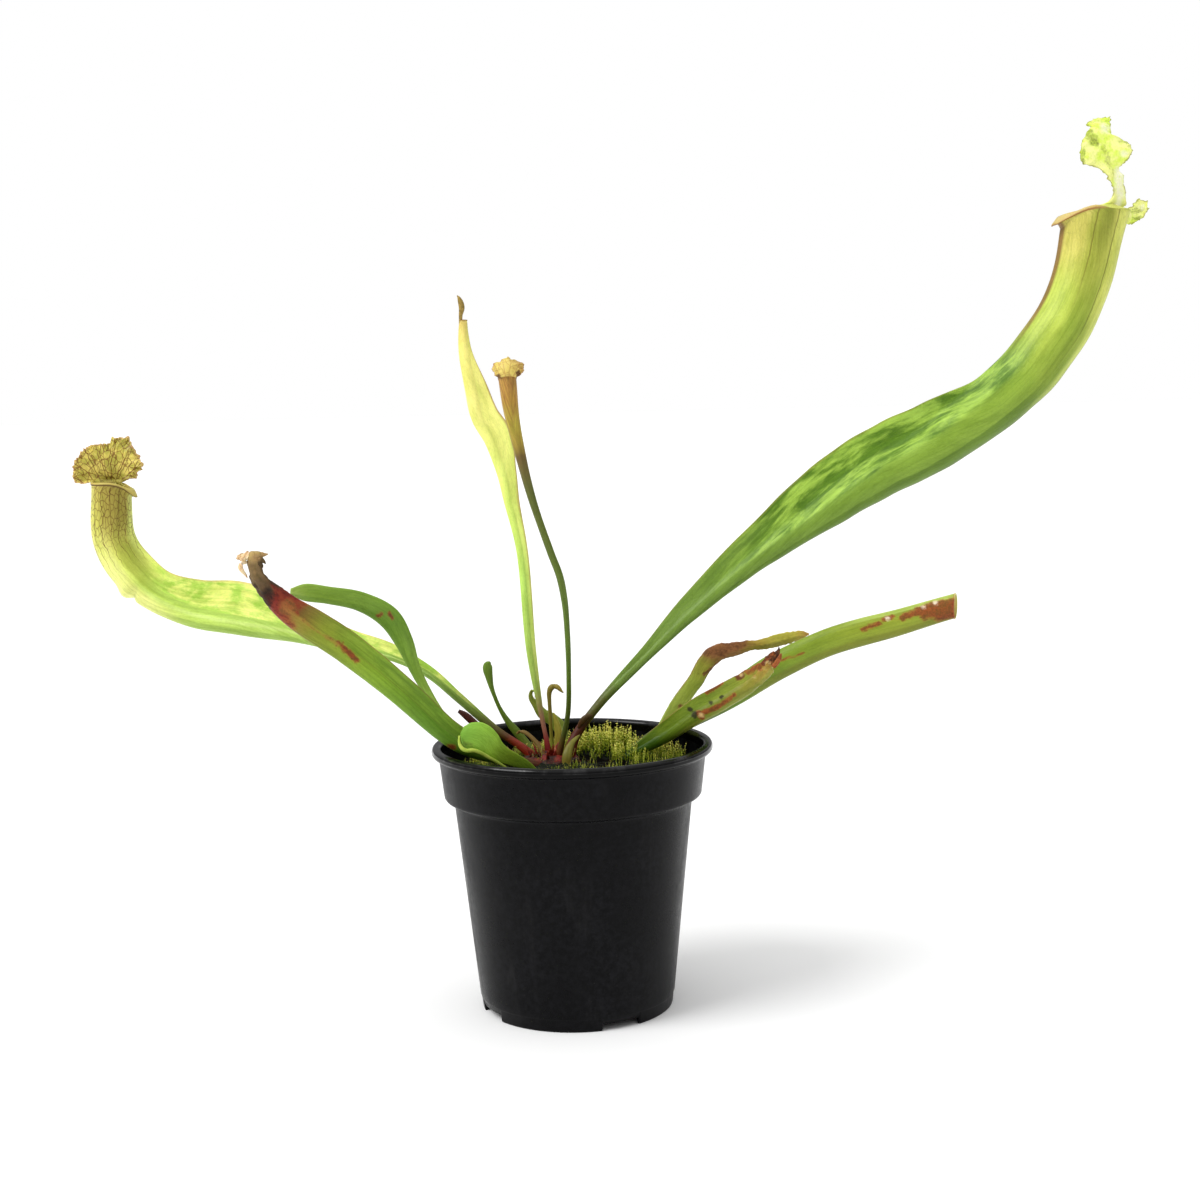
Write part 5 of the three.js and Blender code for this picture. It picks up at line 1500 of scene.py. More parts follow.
def rusty_right() -> Leaf:
    """The short winged leaf on the right, dry and curled at its end."""
    finish = LeafFinish(
        "rust_spotted_leaf",
        tones((0.0, 50, 80, 6), (0.22, 62, 94, 10), (0.34, 108, 134, 30), (0.6, 128, 142, 40),
              (0.84, 150, 144, 50), (0.94, 190, 160, 72), (1.0, 190, 130, 66)),
        wing=rgb(150, 172, 52), wing_dark=rgb(120, 148, 36), wing_strength=0.5,
        bands=(Band(rgb(160, 168, 66), (0.6, 1.1), (0.35, 1.0), 0.6, 0.04),), rust=rgb(156, 66, 28),
        dark=rgb(38, 26, 16), red=rgb(110, 26, 18), pale=rgb(228, 196, 130), streaks=0.3,
        margin=rgb(140, 96, 50))
    torn = (
        Spur(((76.0, -8.6, 136.0, 1.8), (78.6, -8.8, 137.6, 1.5), (80.0, -8.8, 139.0, 1.0),
              (80.6, -8.4, 140.4, 0.4), (80.6, -8.2, 141.3, 0.12)),
             0.6, (("share", 1.0), ("dark", 0.55), ("rust", 0.6))),
        Spur(((74.0, -9.6, 134.6, 1.0), (76.0, -10.2, 137.0, 0.9), (77.6, -10, 138.6, 0.8),
              (78.6, -9.6, 139.6, 0.3)),
             0.5, (("share", 1.0), ("dark", 0.35), ("rust", 0.7))),
        Spur(((78.0, -10, 133.6, 1.0), (79.6, -10, 135.4, 1.0), (80.8, -9.6, 137.4, 0.8),
              (81.4, -9.2, 138.8, 0.2)),
             0.5, (("share", 1.0), ("rust", 0.6))))
    return Leaf(
        "leaf_rusty_right", "leaf_green", finish,
        ((19, 9, 94.6, 0.8, 0), (25, 8.4, 98, 1.6, 1.0), (31, 7, 101.2, 2.2, 2.2),
         (38, 5, 105.4, 2.7, 3.2), (49, 1, 113, 3.0, 3.9), (59, -2, 119, 3.0, 4.0),
         (69, -5, 125.6, 2.8, 3.3), (75, -7, 131.4, 2.6, 1.6), (78.5, -8, 136.5, 1.7, 0)),
        up=(-1, 0, 1), flat=0.8, wave=0.5, rings=140, spurs=torn,
        wrinkle=((0.0, 0.0), (0.75, 0.04), (0.9, 0.28), (1.0, 0.42)),
        patches=(
            Patch(RUST, (76.0, -9, 137.6), 1.9, 0.9, (68.5, -8, 131.4)),
            Patch(RUST, (73.2, -9, 133.4), 1.6, 0.85), Patch(RUST, (77.5, -10, 135.6), 1.2, 0.8),
            Patch(PALE, (76.0, -10, 135.2), 1.1, 0.9), Patch(PALE, (70.9, -8.5, 130), 0.8, 0.9),
            Patch(RED, (65.7, -5.4, 130.0), 2.0, 0.95), Patch(PALE, (65.9, -6, 130.2), 0.9, 0.9),
            Patch(RUST, (53.0, -2, 123.0), 0.8, 0.85, (58.6, -4, 126.9)),
            Patch(RUST, (49.4, -2, 115.0), 1.2, 0.9, (51.0, -2, 113.0)),
            Patch(RUST, (50.4, -2, 114.8), 1.0, 0.85, (57.6, -4, 117.7)),
            Patch(RUST, (57.6, -4.4, 117.7), 0.9, 0.75, (63.5, -5.6, 122.6)),
            Patch(PALE, (50.6, -2.2, 114.2), 1.0, 0.9), Patch(DARK, (46.5, 0.2, 116.1), 1.2),
            Patch(DARK, (48.0, -0.8, 114.1), 1.3), Patch(DARK, (58.5, -4, 121.4), 0.9),
            Patch(DARK, (54.4, -2.8, 119.2), 1.0, 0.8)),
        seed=23)


def bent_right() -> Leaf:
    """The flat leaf on the right that bends over and dries to its tip."""
    finish = LeafFinish(
        "drying_bent_leaf",
        tones((0.0, 128, 150, 50), (0.15, 172, 188, 82), (0.4, 172, 186, 72), (0.5, 168, 164, 62),
              (0.56, 160, 116, 66), (0.68, 156, 110, 64), (0.76, 186, 156, 66), (0.86, 206, 196, 82),
              (0.94, 206, 192, 80), (1.0, 190, 140, 70)),
        bands=(Band(rgb(116, 96, 34), (0.84, 1.1), (0.4, 0.7), 0.8, 0.04),
               Band(rgb(128, 120, 36), (0.55, 1.1), (0.7, 0.95), 0.8, 0.08),
               Band(rgb(150, 110, 70), (-1.0, 0.16), (0.3, 0.7), 0.6, 0.04)),
        rust=rgb(142, 84, 50), streaks=0.4, roughness=0.5)
    return Leaf(
        "leaf_bent_right", "leaf_rust", finish,
        ((31, 23, 92, 1.6), (34, 25, 99, 2.2), (38.4, 27.6, 105.4, 3.0), (43, 29.6, 112, 3.4),
         (47, 31, 117.6, 3.2), (51.2, 31.5, 123, 3.3), (54.4, 32, 128.4, 3.5), (57.6, 32.5, 132, 3.7),
         (62, 33, 134.2, 3.4), (67.9, 33.5, 135.2, 2.6), (75, 34, 136.2, 2.0), (82, 34.5, 137.2, 2.4),
         (90, 35, 139.0, 2.5), (94.4, 35, 139.9, 1.8), (98, 35, 140.3, 0.6)),
        up=(-1, 0, 1), flat=0.28, rings=150,
        wrinkle=((0.0, 0.0), (0.45, 0.05), (0.62, 0.2), (0.8, 0.22), (1.0, 0.2)),
        patches=(Patch(RUST, (44.4, 28.6, 112.4), 1.2, 0.8),
                 Patch(RUST, (57, 31.6, 134.4), 3.0, 0.6, (70, 32.4, 137.6)),
                 Patch(RUST, (54.6, 31, 125.4), 0.9, 0.8, (62.5, 32, 130.2))),
        seed=29)


def spoon_front() -> Leaf:
    """The broad spoon-shaped leaf at the front of the pot, its lower edge curled up."""
    finish = LeafFinish(
        "spoon_leaf",
        tones((0.0, 104, 130, 42), (0.2, 130, 164, 46), (0.5, 150, 182, 50), (0.8, 146, 192, 62),
              (1.0, 132, 184, 64)),
        lid=rgb(184, 200, 84), lid_dark=rgb(160, 184, 66), margin_strength=0.0, streaks=0.18,
        rust=rgb(110, 130, 40))
    rim = Spur(
        ((-42.4, -27.2, 113.0, 0.4), (-42.4, -28, 110.3, 0.6), (-41.3, -28.6, 108.3, 0.8),
         (-39.6, -28.8, 107.5, 0.8), (-37.3, -28.8, 107.6, 0.8), (-34.7, -28.4, 106.6, 0.75),
         (-31.5, -27.4, 104.4, 0.7), (-28.5, -26.4, 102.4, 0.6), (-25.0, -25, 99.8, 0.4)),
        0.7, (("lid", 1.0),))
    return Leaf(
        "leaf_spoon_front", "leaf_green", finish,
        ((-13, -13, 93, 1.2), (-15.6, -16, 97.4, 1.3), (-18.5, -20, 100, 2.0), (-22.2, -23, 102.4, 2.7),
         (-25.8, -25, 104.6, 3.2), (-28.8, -26, 106.8, 4.0), (-31.6, -26, 109.2, 5.4),
         (-34.2, -26, 111.0, 6.2), (-37.2, -26, 112.6, 6.0), (-39.8, -26, 114.0, 4.2),
         (-41.4, -26, 114.8, 1.6)),
        up=(0.5, 0, 1), flat=0.2, rings=110, spurs=(rim,),
        patches=(Patch(RUST, (-40.5, -27, 109.6), 1.4, 0.5, (-38, -27, 109.2)),), seed=31)


@dataclass(frozen=True)
class Shoot:
    """A small shoot or bract: its node, slot, colours, path and flatness."""

    node: str
    slot: str
    foot: Colour
    tip: Colour
    path: tuple[tuple[float, float, float, float], ...]
    flat: float
    up: Point = (1, 0, 0)

    def leaf(self, seed: int) -> Leaf:
        """Grows the shoot as a leaf.

        Args:
            seed: Seed of its unevenness.

        Returns:
            The leaf.
        """
        middle = tuple((a + 3 * b) / 4 for a, b in zip(self.foot, self.tip))
        finish = LeafFinish(f"{self.node}_finish", ((0.0, self.foot), (0.35, middle), (1.0, self.tip)),
                            streaks=0.35)
        return Leaf(self.node, self.slot, finish, self.path, self.up, self.flat, rings=70,
                    sheath=0.3, seed=seed)


SHOOTS = (
    Shoot(
        "shoot_hook_left", "leaf_olive", rgb(104, 108, 42), rgb(108, 138, 42),
        ((-14, 17, 94, 1.3), (-18.6, 19.5, 100.7, 1.5), (-22.9, 20, 106.1, 1.6), (-26, 20, 110.2, 1.2),
         (-28.7, 20, 115, 0.85), (-30.6, 20, 119.7, 0.8), (-31.9, 20, 123.8, 1.0), (-32.7, 20, 127.9, 1.5),
         (-33.2, 20, 131.4, 1.9), (-32.9, 20, 133.2, 1.5), (-32.2, 19.6, 134.0, 0.5)),
        0.6),
    Shoot(
        "shoot_curl_back", "leaf_olive", rgb(112, 146, 50), rgb(146, 154, 62),
        ((-4.5, 18, 94, 1.2), (-4.4, 22, 100, 1.8), (-4.4, 25.6, 104.9, 2.8), (-7.6, 26, 108.7, 2.6),
         (-11.6, 26, 111.3, 2.3), (-14.3, 26, 115.1, 1.6), (-16.2, 26, 118, 1.1), (-16.3, 26, 120, 0.8),
         (-15.4, 25.6, 121.2, 0.7), (-14.3, 25, 120.6, 0.6), (-14.4, 24.6, 118.4, 0.4)),
        0.4),
    Shoot(
        "shoot_hook_centre", "leaf_green", rgb(122, 140, 44), rgb(152, 132, 54),
        ((-8.6, 15.5, 94, 0.8), (-8.1, 17, 100.6, 0.7), (-8.4, 17, 106.3, 0.7), (-8.5, 17, 112, 0.8),
         (-8.7, 17, 117.6, 0.8), (-8.7, 17, 121.4, 1.0), (-7.9, 17, 123.4, 1.2), (-6.6, 17, 124, 1.1),
         (-5.4, 16.6, 123.7, 1.0), (-4.5, 16.2, 122.9, 0.8), (-3.8, 16, 122.1, 0.5),
         (-3.0, 16, 121.5, 0.25)),
        0.9),
    Shoot(
        "shoot_blade_centre", "leaf_yellow", rgb(170, 120, 60), rgb(186, 178, 72),
        ((-5.8, 13.5, 94, 0.9), (-5.9, 14.8, 101, 1.1), (-5.4, 15, 105.3, 1.5), (-5.8, 15, 108.4, 1.3),
         (-6.5, 15, 111.4, 0.8), (-7.2, 15, 113.6, 0.3)),
        0.45),
    Shoot(
        "shoot_bract_front", "leaf_lime", rgb(120, 96, 40), rgb(132, 128, 46),
        ((-2.6, -2.4, 94, 1.2), (-2.2, -2, 98.9, 1.7), (-1.3, -1, 101.8, 1.6), (0.1, 0, 104.2, 1.1),
         (1.9, 1, 105.9, 0.7), (3.1, 1.4, 106.8, 0.25)),
        0.5),
    Shoot(
        "shoot_tan_left", "leaf_tan", rgb(92, 66, 32), rgb(128, 100, 46),
        ((-10.4, 3.4, 94, 0.8), (-11.4, 4.4, 98, 0.9), (-12.6, 5.2, 100.8, 0.9), (-14, 6, 103.2, 0.9),
         (-16.2, 7, 105.5, 0.8), (-18.6, 8, 107.2, 0.8), (-20.6, 8.5, 107.5, 0.7),
         (-21.9, 8.8, 106.6, 0.3)),
        0.6),
    Shoot(
        "stub_dead_left", "crown", rgb(160, 36, 34), rgb(70, 26, 20),
        ((-18.5, 8.4, 94.6, 1), (-26, 8, 100.2, 1.1), (-33, 7.5, 106.6, 1.2), (-38.6, 7.5, 111.6, 1.4),
         (-42, 7.5, 114.8, 1.3), (-44.6, 7.5, 116.6, 0.7)),
        0.8, (1, 0, 1)))


# ---------------------------------------------------------------- pot


@dataclass
class Pot:
    """A black moulded nursery pot, with a stepped band and a rolled lip."""

    height: float = 104.5
    lip: float = 55.0
    lip_height: float = 4.0
    band_top: float = 52.2
    band_foot: float = 50.5
    band_foot_z: float = 85.0
    body_top: float = 46.6
    base: float = 37.7
    wall: float = 1.1
    floor_z: float = 3.0
    foot: float = 14.0
    notch_width: float = 16.0
    notch_height: float = 2.8
    notch_turns: tuple[float, ...] = (26, 116, 206, 296)
    foot_points: int = 14
    drains: int = 8
    drain_circle: float = 25.0
    drain_radius: float = 3.5
    drain_sides: int = 24
    sides: int = 240

    def inner(self, z: float) -> float:
        """Inside radius at a height.

        Args:
            z: The height.

        Returns:
            The radius.
        """
        if z > self.band_foot_z:
            share = (z - self.band_foot_z) / (self.height - self.lip_height - self.band_foot_z)
            return self.band_foot + (self.band_top - self.band_foot) * share - self.wall
        return self.base + (self.body_top - self.base) * z / self.band_foot_z - self.wall

    def profile(self) -> Array:
        """Radius and height of the pot's section, from the middle of its foot round to inside."""
        top = self.height
        band_top = top - self.lip_height
        foot_z = self.band_foot_z
        outside = [
            (0.0, 0.0), (self.foot - 0.4, 0.0), (self.foot, 0.1), (self.foot + 1.5, self.floor_z),
            (self.base - 2.2, self.floor_z), (self.base - 1.6, self.floor_z - 0.4),
            (self.base - 1.5, 0.3), (self.base - 1.2, 0.0), (self.base - 0.5, 0.0),
            (self.base - 0.15, 0.3), (self.base, 0.8), (self.base + 0.45, 4.7),
            (self.base + 0.6, 5.0), (self.base + 0.82, 5.5)]
        steps = np.linspace(0.04, 0.97, 12)
        body = [(self.base + 0.8 + (self.body_top - self.base - 0.8) * s,
                 5.4 + (foot_z - 8.4) * s) for s in steps]
        shoulder = [
            (self.body_top, foot_z - 3.0), (self.body_top + 0.25, foot_z - 2.3),
            (self.body_top + 0.9, foot_z - 1.7), (self.band_foot - 1.2, foot_z - 1.2),
            (self.band_foot - 0.5, foot_z - 0.85), (self.band_foot - 0.1, foot_z - 0.3),
            (self.band_foot, foot_z + 0.4)]
        band = [(self.band_foot + (self.band_top - self.band_foot) * s,
                 foot_z + 0.4 + (band_top - foot_z - 1.2) * s) for s in (0.25, 0.5, 0.75, 1.0)]
        roll = [
            (self.band_top + 0.2, band_top - 0.3), (self.band_top + 0.8, band_top + 0.1),
            (self.lip - 1.2, band_top + 0.35), (self.lip - 0.5, band_top + 0.75),
            (self.lip - 0.1, band_top + 1.4), (self.lip, band_top + 2.1),
            (self.lip - 0.1, band_top + 2.9), (self.lip - 0.4, top - 0.5), (self.lip - 0.9, top - 0.12),
            (self.lip - 1.5, top), (self.band_top + 0.4, top - 0.02), (self.band_top - 0.3, top - 0.25),
            (self.band_top - 0.9, top - 0.8), (self.inner(band_top) + 0.05, top - 1.8),
            (self.inner(band_top), band_top)]
        inside = [(self.inner(z), z) for z in (97.0, 93.0, foot_z + 0.6)]
        step = [(self.inner(foot_z - 2.5), foot_z - 2.5)]
        low = [(self.inner(z), z) for z in (60.0, 30.0, self.floor_z + self.wall)]
        floor = [(self.foot + 0.8, self.floor_z + self.wall), (self.foot - 0.8, self.wall),
                 (0.0, self.wall)]
        return np.array(outside + body + shoulder + band + roll + inside + step + low + floor)

    def turns(self) -> Array:
        """Turns of the pot's sides, with close pairs at the sides of the notches."""
        even = np.arange(self.sides) * 360 / self.sides
        half = math.degrees(self.notch_width / 2 / self.base)
        sides = [turn + sign * half + off for turn in self.notch_turns
                 for sign in (-1, 1) for off in (-0.15, 0.15)]
        return np.unique(np.round(np.concatenate([even, np.mod(sides, 360)]), 4))

    def build(self) -> Piece:
        """Turns the pot, cuts its notches and drain holes and dresses it."""
        profile = self.profile()[1:-1]
        turns = self.turns()
        angle = np.radians(turns)[None, :]
        radius = profile[:, :1]
        height = np.repeat(profile[:, 1:], len(turns), 1)
        off = np.abs((turns[None, :] - np.array(self.notch_turns)[:, None] + 180) % 360 - 180).min(0)
        notched = off < math.degrees(self.notch_width / 2 / self.base)
        standing = (profile[:, :1] > self.base - 2) & (profile[:, 1:] < self.notch_height)
        outside = np.arange(len(profile))[:, None] < self.foot_points
        height = np.where(standing & notched[None, :] & outside, self.notch_height, height)
        grid = np.stack([radius * np.sin(angle), -radius * np.cos(angle), height], -1)
        points = np.vstack([grid.reshape(-1, 3), (0, 0, 0), (0, 0, self.wall)])
        shell = Shell()
        shell.add(points, tube_faces(*grid.shape[:2]))
        made = shell.build("nursery_pot", self.material())
        self.drill(made)
        return finish_piece(made, "pot", "pot")

    def drill(self, pot: Piece) -> None:
        """Drills the drain holes.

        Args:
            pot: The pot.
        """
        shell = Shell()
        angle = circle(self.drain_sides)
        for hole in range(self.drains):
            turn = 2 * math.pi * (hole + 0.5) / self.drains
            x = self.drain_circle * math.cos(turn) + self.drain_radius * np.cos(angle)
            y = self.drain_circle * math.sin(turn) + self.drain_radius * np.sin(angle)
            levels = (self.floor_z - 2, self.floor_z + self.wall + 2)
            shell.tube(np.stack([np.stack([x, y, np.full_like(x, level)], -1) for level in levels]))
        cutter = shell.build("drain_cutter", pot.data.materials[0])
        cut = pot.modifiers.new("drain_holes", "BOOLEAN")
        cut.operation = "DIFFERENCE"
        cut.solver = "EXACT"
        cut.object = cutter
        replace_mesh(pot)
        bpy.data.objects.remove(cutter)

    def material(self) -> Material:
        """Black moulded plastic, faintly specked and watermarked, with painted shade on its lip and in
        patches under its band's ledge.
        """
        sh = Shader("black_moulded_plastic")
        grain = sh.noise(sh.space(0.5), 3, 0.6)
        dust = sh.grade(sh.noise(sh.space(1.3), 4, 0.75), 0.62, 0.76)
        mottle = sh.grade(sh.noise(sh.space(2.4), 5, 0.78), 0.36, 0.66)
        clouds = sh.grade(sh.noise(sh.space(28), 4), 0.36, 0.66)
        runs = sh.grade(sh.noise(sh.stretched(9, 0.14), 4, 0.7), 0.5, 0.7)
        under_band = sh.between(sh.height(), self.band_foot_z - 9, self.band_foot_z - 3, 1.6)
        # Painted shade: near-black patches just under the band's ledge.
        painted_shade_under_ledge = under_band * sh.grade(sh.noise(sh.space(3.4), 4, 0.7), 0.5, 0.6)
        lip = sh.grade(sh.height(), self.height - 4.6, self.height - 3.8)
        wet = sh.between(sh.height(), self.height - 1.8, self.height - 0.2, 0.3)
        colour = sh.mix(rgb(1, 1, 2), rgb(19, 19, 22), mottle * (0.4 + clouds * 0.6))
        colour = sh.mix(colour, rgb(66, 64, 62), dust * clouds * 0.5)
        colour = sh.mix(colour, rgb(34, 33, 34), runs * clouds * 0.5)
        # Painted shade: the rolled lip and the top of the band just under it are darkened towards black,
        # as are the patches under the ledge.
        colour = sh.mix(colour, rgb(1, 1, 1), sh.math("MAXIMUM", painted_shade_under_ledge, lip) * 0.8)
        rough = 0.25 + clouds * 0.12 + mottle * 0.08 + dust * 0.2 + runs * 0.08 + (grain - 0.5) * 0.08
        rough = rough * (1.0 - lip * 0.5)
        return sh.surface(Base_Color=colour, Roughness=rough, Specular_IOR_Level=0.095,
                          Coat_Weight=wet * (0.25 + runs * 0.75), Coat_Roughness=0.12,
                          Normal=sh.bump(grain * 0.6 + mottle * 0.4, 0.04, 0.4))


def replace_mesh(piece: Piece) -> None:
    """Applies a piece's modifiers to its mesh and removes them.

    Args:
        piece: The piece.
    """
    graph = bpy.context.evaluated_depsgraph_get()
    made = bpy.data.meshes.new_from_object(piece.evaluated_get(graph), preserve_all_data_layers=True,
                                           depsgraph=graph)
    piece.modifiers.clear()
    piece.data = made


# ---------------------------------------------------------------- ground


@dataclass
class Ground:
    """The peat, the crown and the moss in the pot.

    A swell of the moss and a bare spot each have a middle and half sizes, rightwards and
    backwards; a swell has its height too.
    """

    pot: Pot
    edge_z: float = 94.0
    mound: float = 2.5
    mound_spread: float = 24.0
    crown: Point = (-9, 7, 94.5)
    crown_half: Point = (12, 11, 4.6)
    crown_clear: tuple[float, float] = (9.0, 8.0)
    gap: float = 0.3
    scales: int = 26
    scale_length: tuple[float, float] = (2.0, 4.6)
    scale_width: tuple[float, float] = (0.4, 0.9)
    moss_radius: float = 41.0
    moss_least: float = 1.3
    moss_swells: tuple[tuple[float, ...], ...] = ((14, 26, 13, 10, 2.6), (30, 6, 12, 14, 1.2))
    bare_spots: tuple[tuple[float, float, float, float], ...] = (
        (4, 9, 4.5, 12), (12, 5, 4.4, 13), (-18, 1, 4, 12), (20, 0, 5, 7.5), (-24, 28, 6, 4),
        (-33, 14, 4, 4), (37, 35, 6, 6))

    def height(self, x: Array, y: Array) -> Array:
        """Height of the peat at places to the right and backwards."""
        away = np.hypot(x - self.crown[0], y - self.crown[1]) / self.mound_spread
        return self.edge_z + self.mound * np.exp(-(away**2)) + 0.35 * np.sin(0.16 * x) * np.cos(0.19 * y)

    def moss_edge(self, turn: Array) -> Array:
        """Radius of the moss at a turn round the pot."""
        return self.moss_radius + 3 * np.sin(3 * turn + 0.6) + 2 * np.sin(7 * turn)

    def moss_depth(self, x: Array, y: Array) -> Array:
        """Depth of the moss at places to the right and backwards."""
        return sum((high * np.exp(-(((x - right) / wide) ** 2) - ((y - back) / deep) ** 2)
                    for right, back, wide, deep, high in self.moss_swells), self.moss_least)

    def covered(self, x: Array, y: Array) -> Array:
        """How far the moss covers the peat, 0 on bare peat and on the crown.

        Args:
            x: Places to the right.
            y: Places backwards.

        Returns:
            The shares.
        """
        flat = on_ground(x, y)
        cover = smooth(Ripple(61, 22).at(flat) + 0.5 * Ripple(63, 9).at(flat), -1.5, -0.55)
        wobble = 0.25 * Ripple(69, 5).at(flat)
        for middle_x, middle_y, half_x, half_y in (*self.bare_spots, (*self.crown[:2], *self.crown_clear)):
            away = np.hypot((x - middle_x) / half_x, (y - middle_y) / half_y) + wobble
            cover = cover * smooth(away, 0.75, 1.15)
        return cover

    def peat(self) -> Piece:
        """The peat, from the pot's floor to its crumbly top."""
        turn = circle(180)[None, :]
        shares = np.linspace(1, 0.01, 70)[:, None]
        radius = (self.pot.inner(self.edge_z) - self.gap) * shares
        x, y = radius * np.cos(turn), radius * np.sin(turn)
        flat = on_ground(x, y)
        rough = 0.5 * Ripple(41, 7).at(flat) + 0.35 * Ripple(43, 2.6).at(flat)
        z = self.height(x, y) - 0.4 + rough * smooth(1 - shares, 0, 0.04)
        floor = self.pot.floor_z + self.pot.wall + self.gap
        step = self.pot.band_foot_z
        sides = []
        for level in (floor, 30.0, 60.0, step - 2.5, step + 0.6):
            wide = self.pot.inner(level) - self.gap
            around = [wide * np.cos(turn), wide * np.sin(turn), np.full_like(turn, level)]
            sides.append(np.stack(around, -1))
        grid = np.vstack([*sides, np.stack([x, y, z], -1)])
        points = np.vstack([grid.reshape(-1, 3), (0, 0, floor), grid[-1].mean(0)])
        shell = Shell()
        shell.add(points, tube_faces(*grid.shape[:2]))
        return finish_piece(shell.build("peat_bed", self.peat_material()), "peat", "soil")

    @staticmethod
    def peat_material() -> Material:
        """Dark, moist, crumbly peat."""
        sh = Shader("moist_peat")
        crumbs = sh.noise(sh.space(1.4), 5, 0.7)
        patches = sh.noise(sh.space(9), 3)
        colour = sh.ramp(crumbs * 0.7 + patches * 0.3, tones(
            (0.3, 5, 4, 3), (0.5, 12, 10, 7), (0.68, 28, 22, 15), (0.82, 62, 48, 32)))
        return sh.surface(Base_Color=colour, Roughness=0.95 - crumbs * 0.2, Specular_IOR_Level=0.03,
                          Normal=sh.bump(crumbs, 0.8, 0.8))

    def crown_lump(self) -> Piece:
        """The lump of old leaf bases that the leaves grow from, with short torn scales."""
        turn = circle(72)[None, :]
        tilt = np.linspace(-0.49 * math.pi, 0.49 * math.pi, 41)[:, None]
        unit = np.stack([np.cos(tilt) * np.cos(turn), np.cos(tilt) * np.sin(turn),
                         np.sin(tilt) * np.ones_like(turn)], -1)
        middle, half = np.array(self.crown), np.array(self.crown_half)
        grid = middle + unit * half
        shell = Shell()
        lumps = 0.5 * Ripple(51, 5).at(grid) + 0.3 * Ripple(53, 2.2).at(grid)
        shell.tube(grid + unit * lumps[..., None])
        random = np.random.default_rng(9)
        for scale in range(self.scales):
            turn_at = 2.4 * scale + random.uniform(-0.3, 0.3)
            reach = random.uniform(0.15, 0.75)
            foot = middle + half * np.array([reach * math.cos(turn_at), reach * math.sin(turn_at),
                                             0.9 * math.sqrt(1 - reach**2)])
            lean = np.array([math.cos(turn_at), math.sin(turn_at), random.uniform(0.9, 2.2)])
            lean /= np.linalg.norm(lean)
            length = random.uniform(*self.scale_length)
            width = random.uniform(*self.scale_width)
            path = [(*(foot + lean * length * share + np.array([0, 0, 0.25 * length * share**2])),
                     width * size, 0.0) for share, size in ((0, 1.1), (0.35, 1.0), (0.7, 0.6), (1, 0.12))]
            frames = Guide(path, (lean[0], lean[1], 0.01)).frames(np.linspace(0, 1, 9))
            around = np.radians(np.arange(0, 360, 36))[None, :]
            out = frames.tube[:, None] * 0.45 * np.cos(around)
            horn = frames.place(out, frames.tube[:, None] * np.sin(around), 0 * out)
            shell.tube(horn, share=np.append(np.repeat(frames.share, 10), (0, 1)))
        return finish_piece(shell.build("crown_of_leaf_bases", self.crown_material()), "crown", "crown")

    @staticmethod
    def crown_material() -> Material:
        """Red-brown leaf bases."""
        sh = Shader("red_leaf_bases")
        patches = sh.noise(sh.space(2.4), 4, 0.6)
        colour = sh.ramp(patches + sh.read("share") * 0.3, tones(
            (0.32, 22, 12, 7), (0.48, 58, 22, 12), (0.62, 112, 24, 16), (0.78, 134, 48, 24),
            (0.95, 170, 126, 62)))
        return sh.surface(Base_Color=colour, Roughness=0.6 - patches * 0.2, Specular_IOR_Level=0.25,
                          Normal=sh.bump(patches, 0.3, 0.6))

    def moss_bed(self) -> Piece:
        """The cushion of moss that the sprigs stand on."""
        turn = circle(160)[None, :]
        shares = np.linspace(0.02, 1, 60)[:, None]
        radius = self.moss_edge(turn) * shares
        x, y = radius * np.cos(turn), radius * np.sin(turn)
        flat = on_ground(x, y)
        clear = self.covered(x, y) * (1 - smooth(shares, 0.93, 1.0))
        depth = self.moss_depth(x, y) * clear
        rough = 0.5 * Ripple(65, 4).at(flat) + 0.3 * Ripple(67, 1.8).at(flat)
        ground = self.height(x, y)
        top = np.stack([x, y, ground - 0.9 + depth + rough * smooth(depth, 0.2, 1.2)], -1)
        grid = np.vstack([np.stack([x, y, ground - 1.6], -1), top[::-1]])
        thick = np.vstack([np.zeros_like(depth), (depth / 3)[::-1]])
        shell = Shell()
        shell.tube(grid, share=np.append(thick.ravel(), (0, 0)))
        # Painted shade: the cushion under the sprigs wears a darker copy of the moss.
        cushion = shell.build("moss_cushion", Moss.material("moss_ground", 0.55))
        return finish_piece(cushion, "moss", "moss")


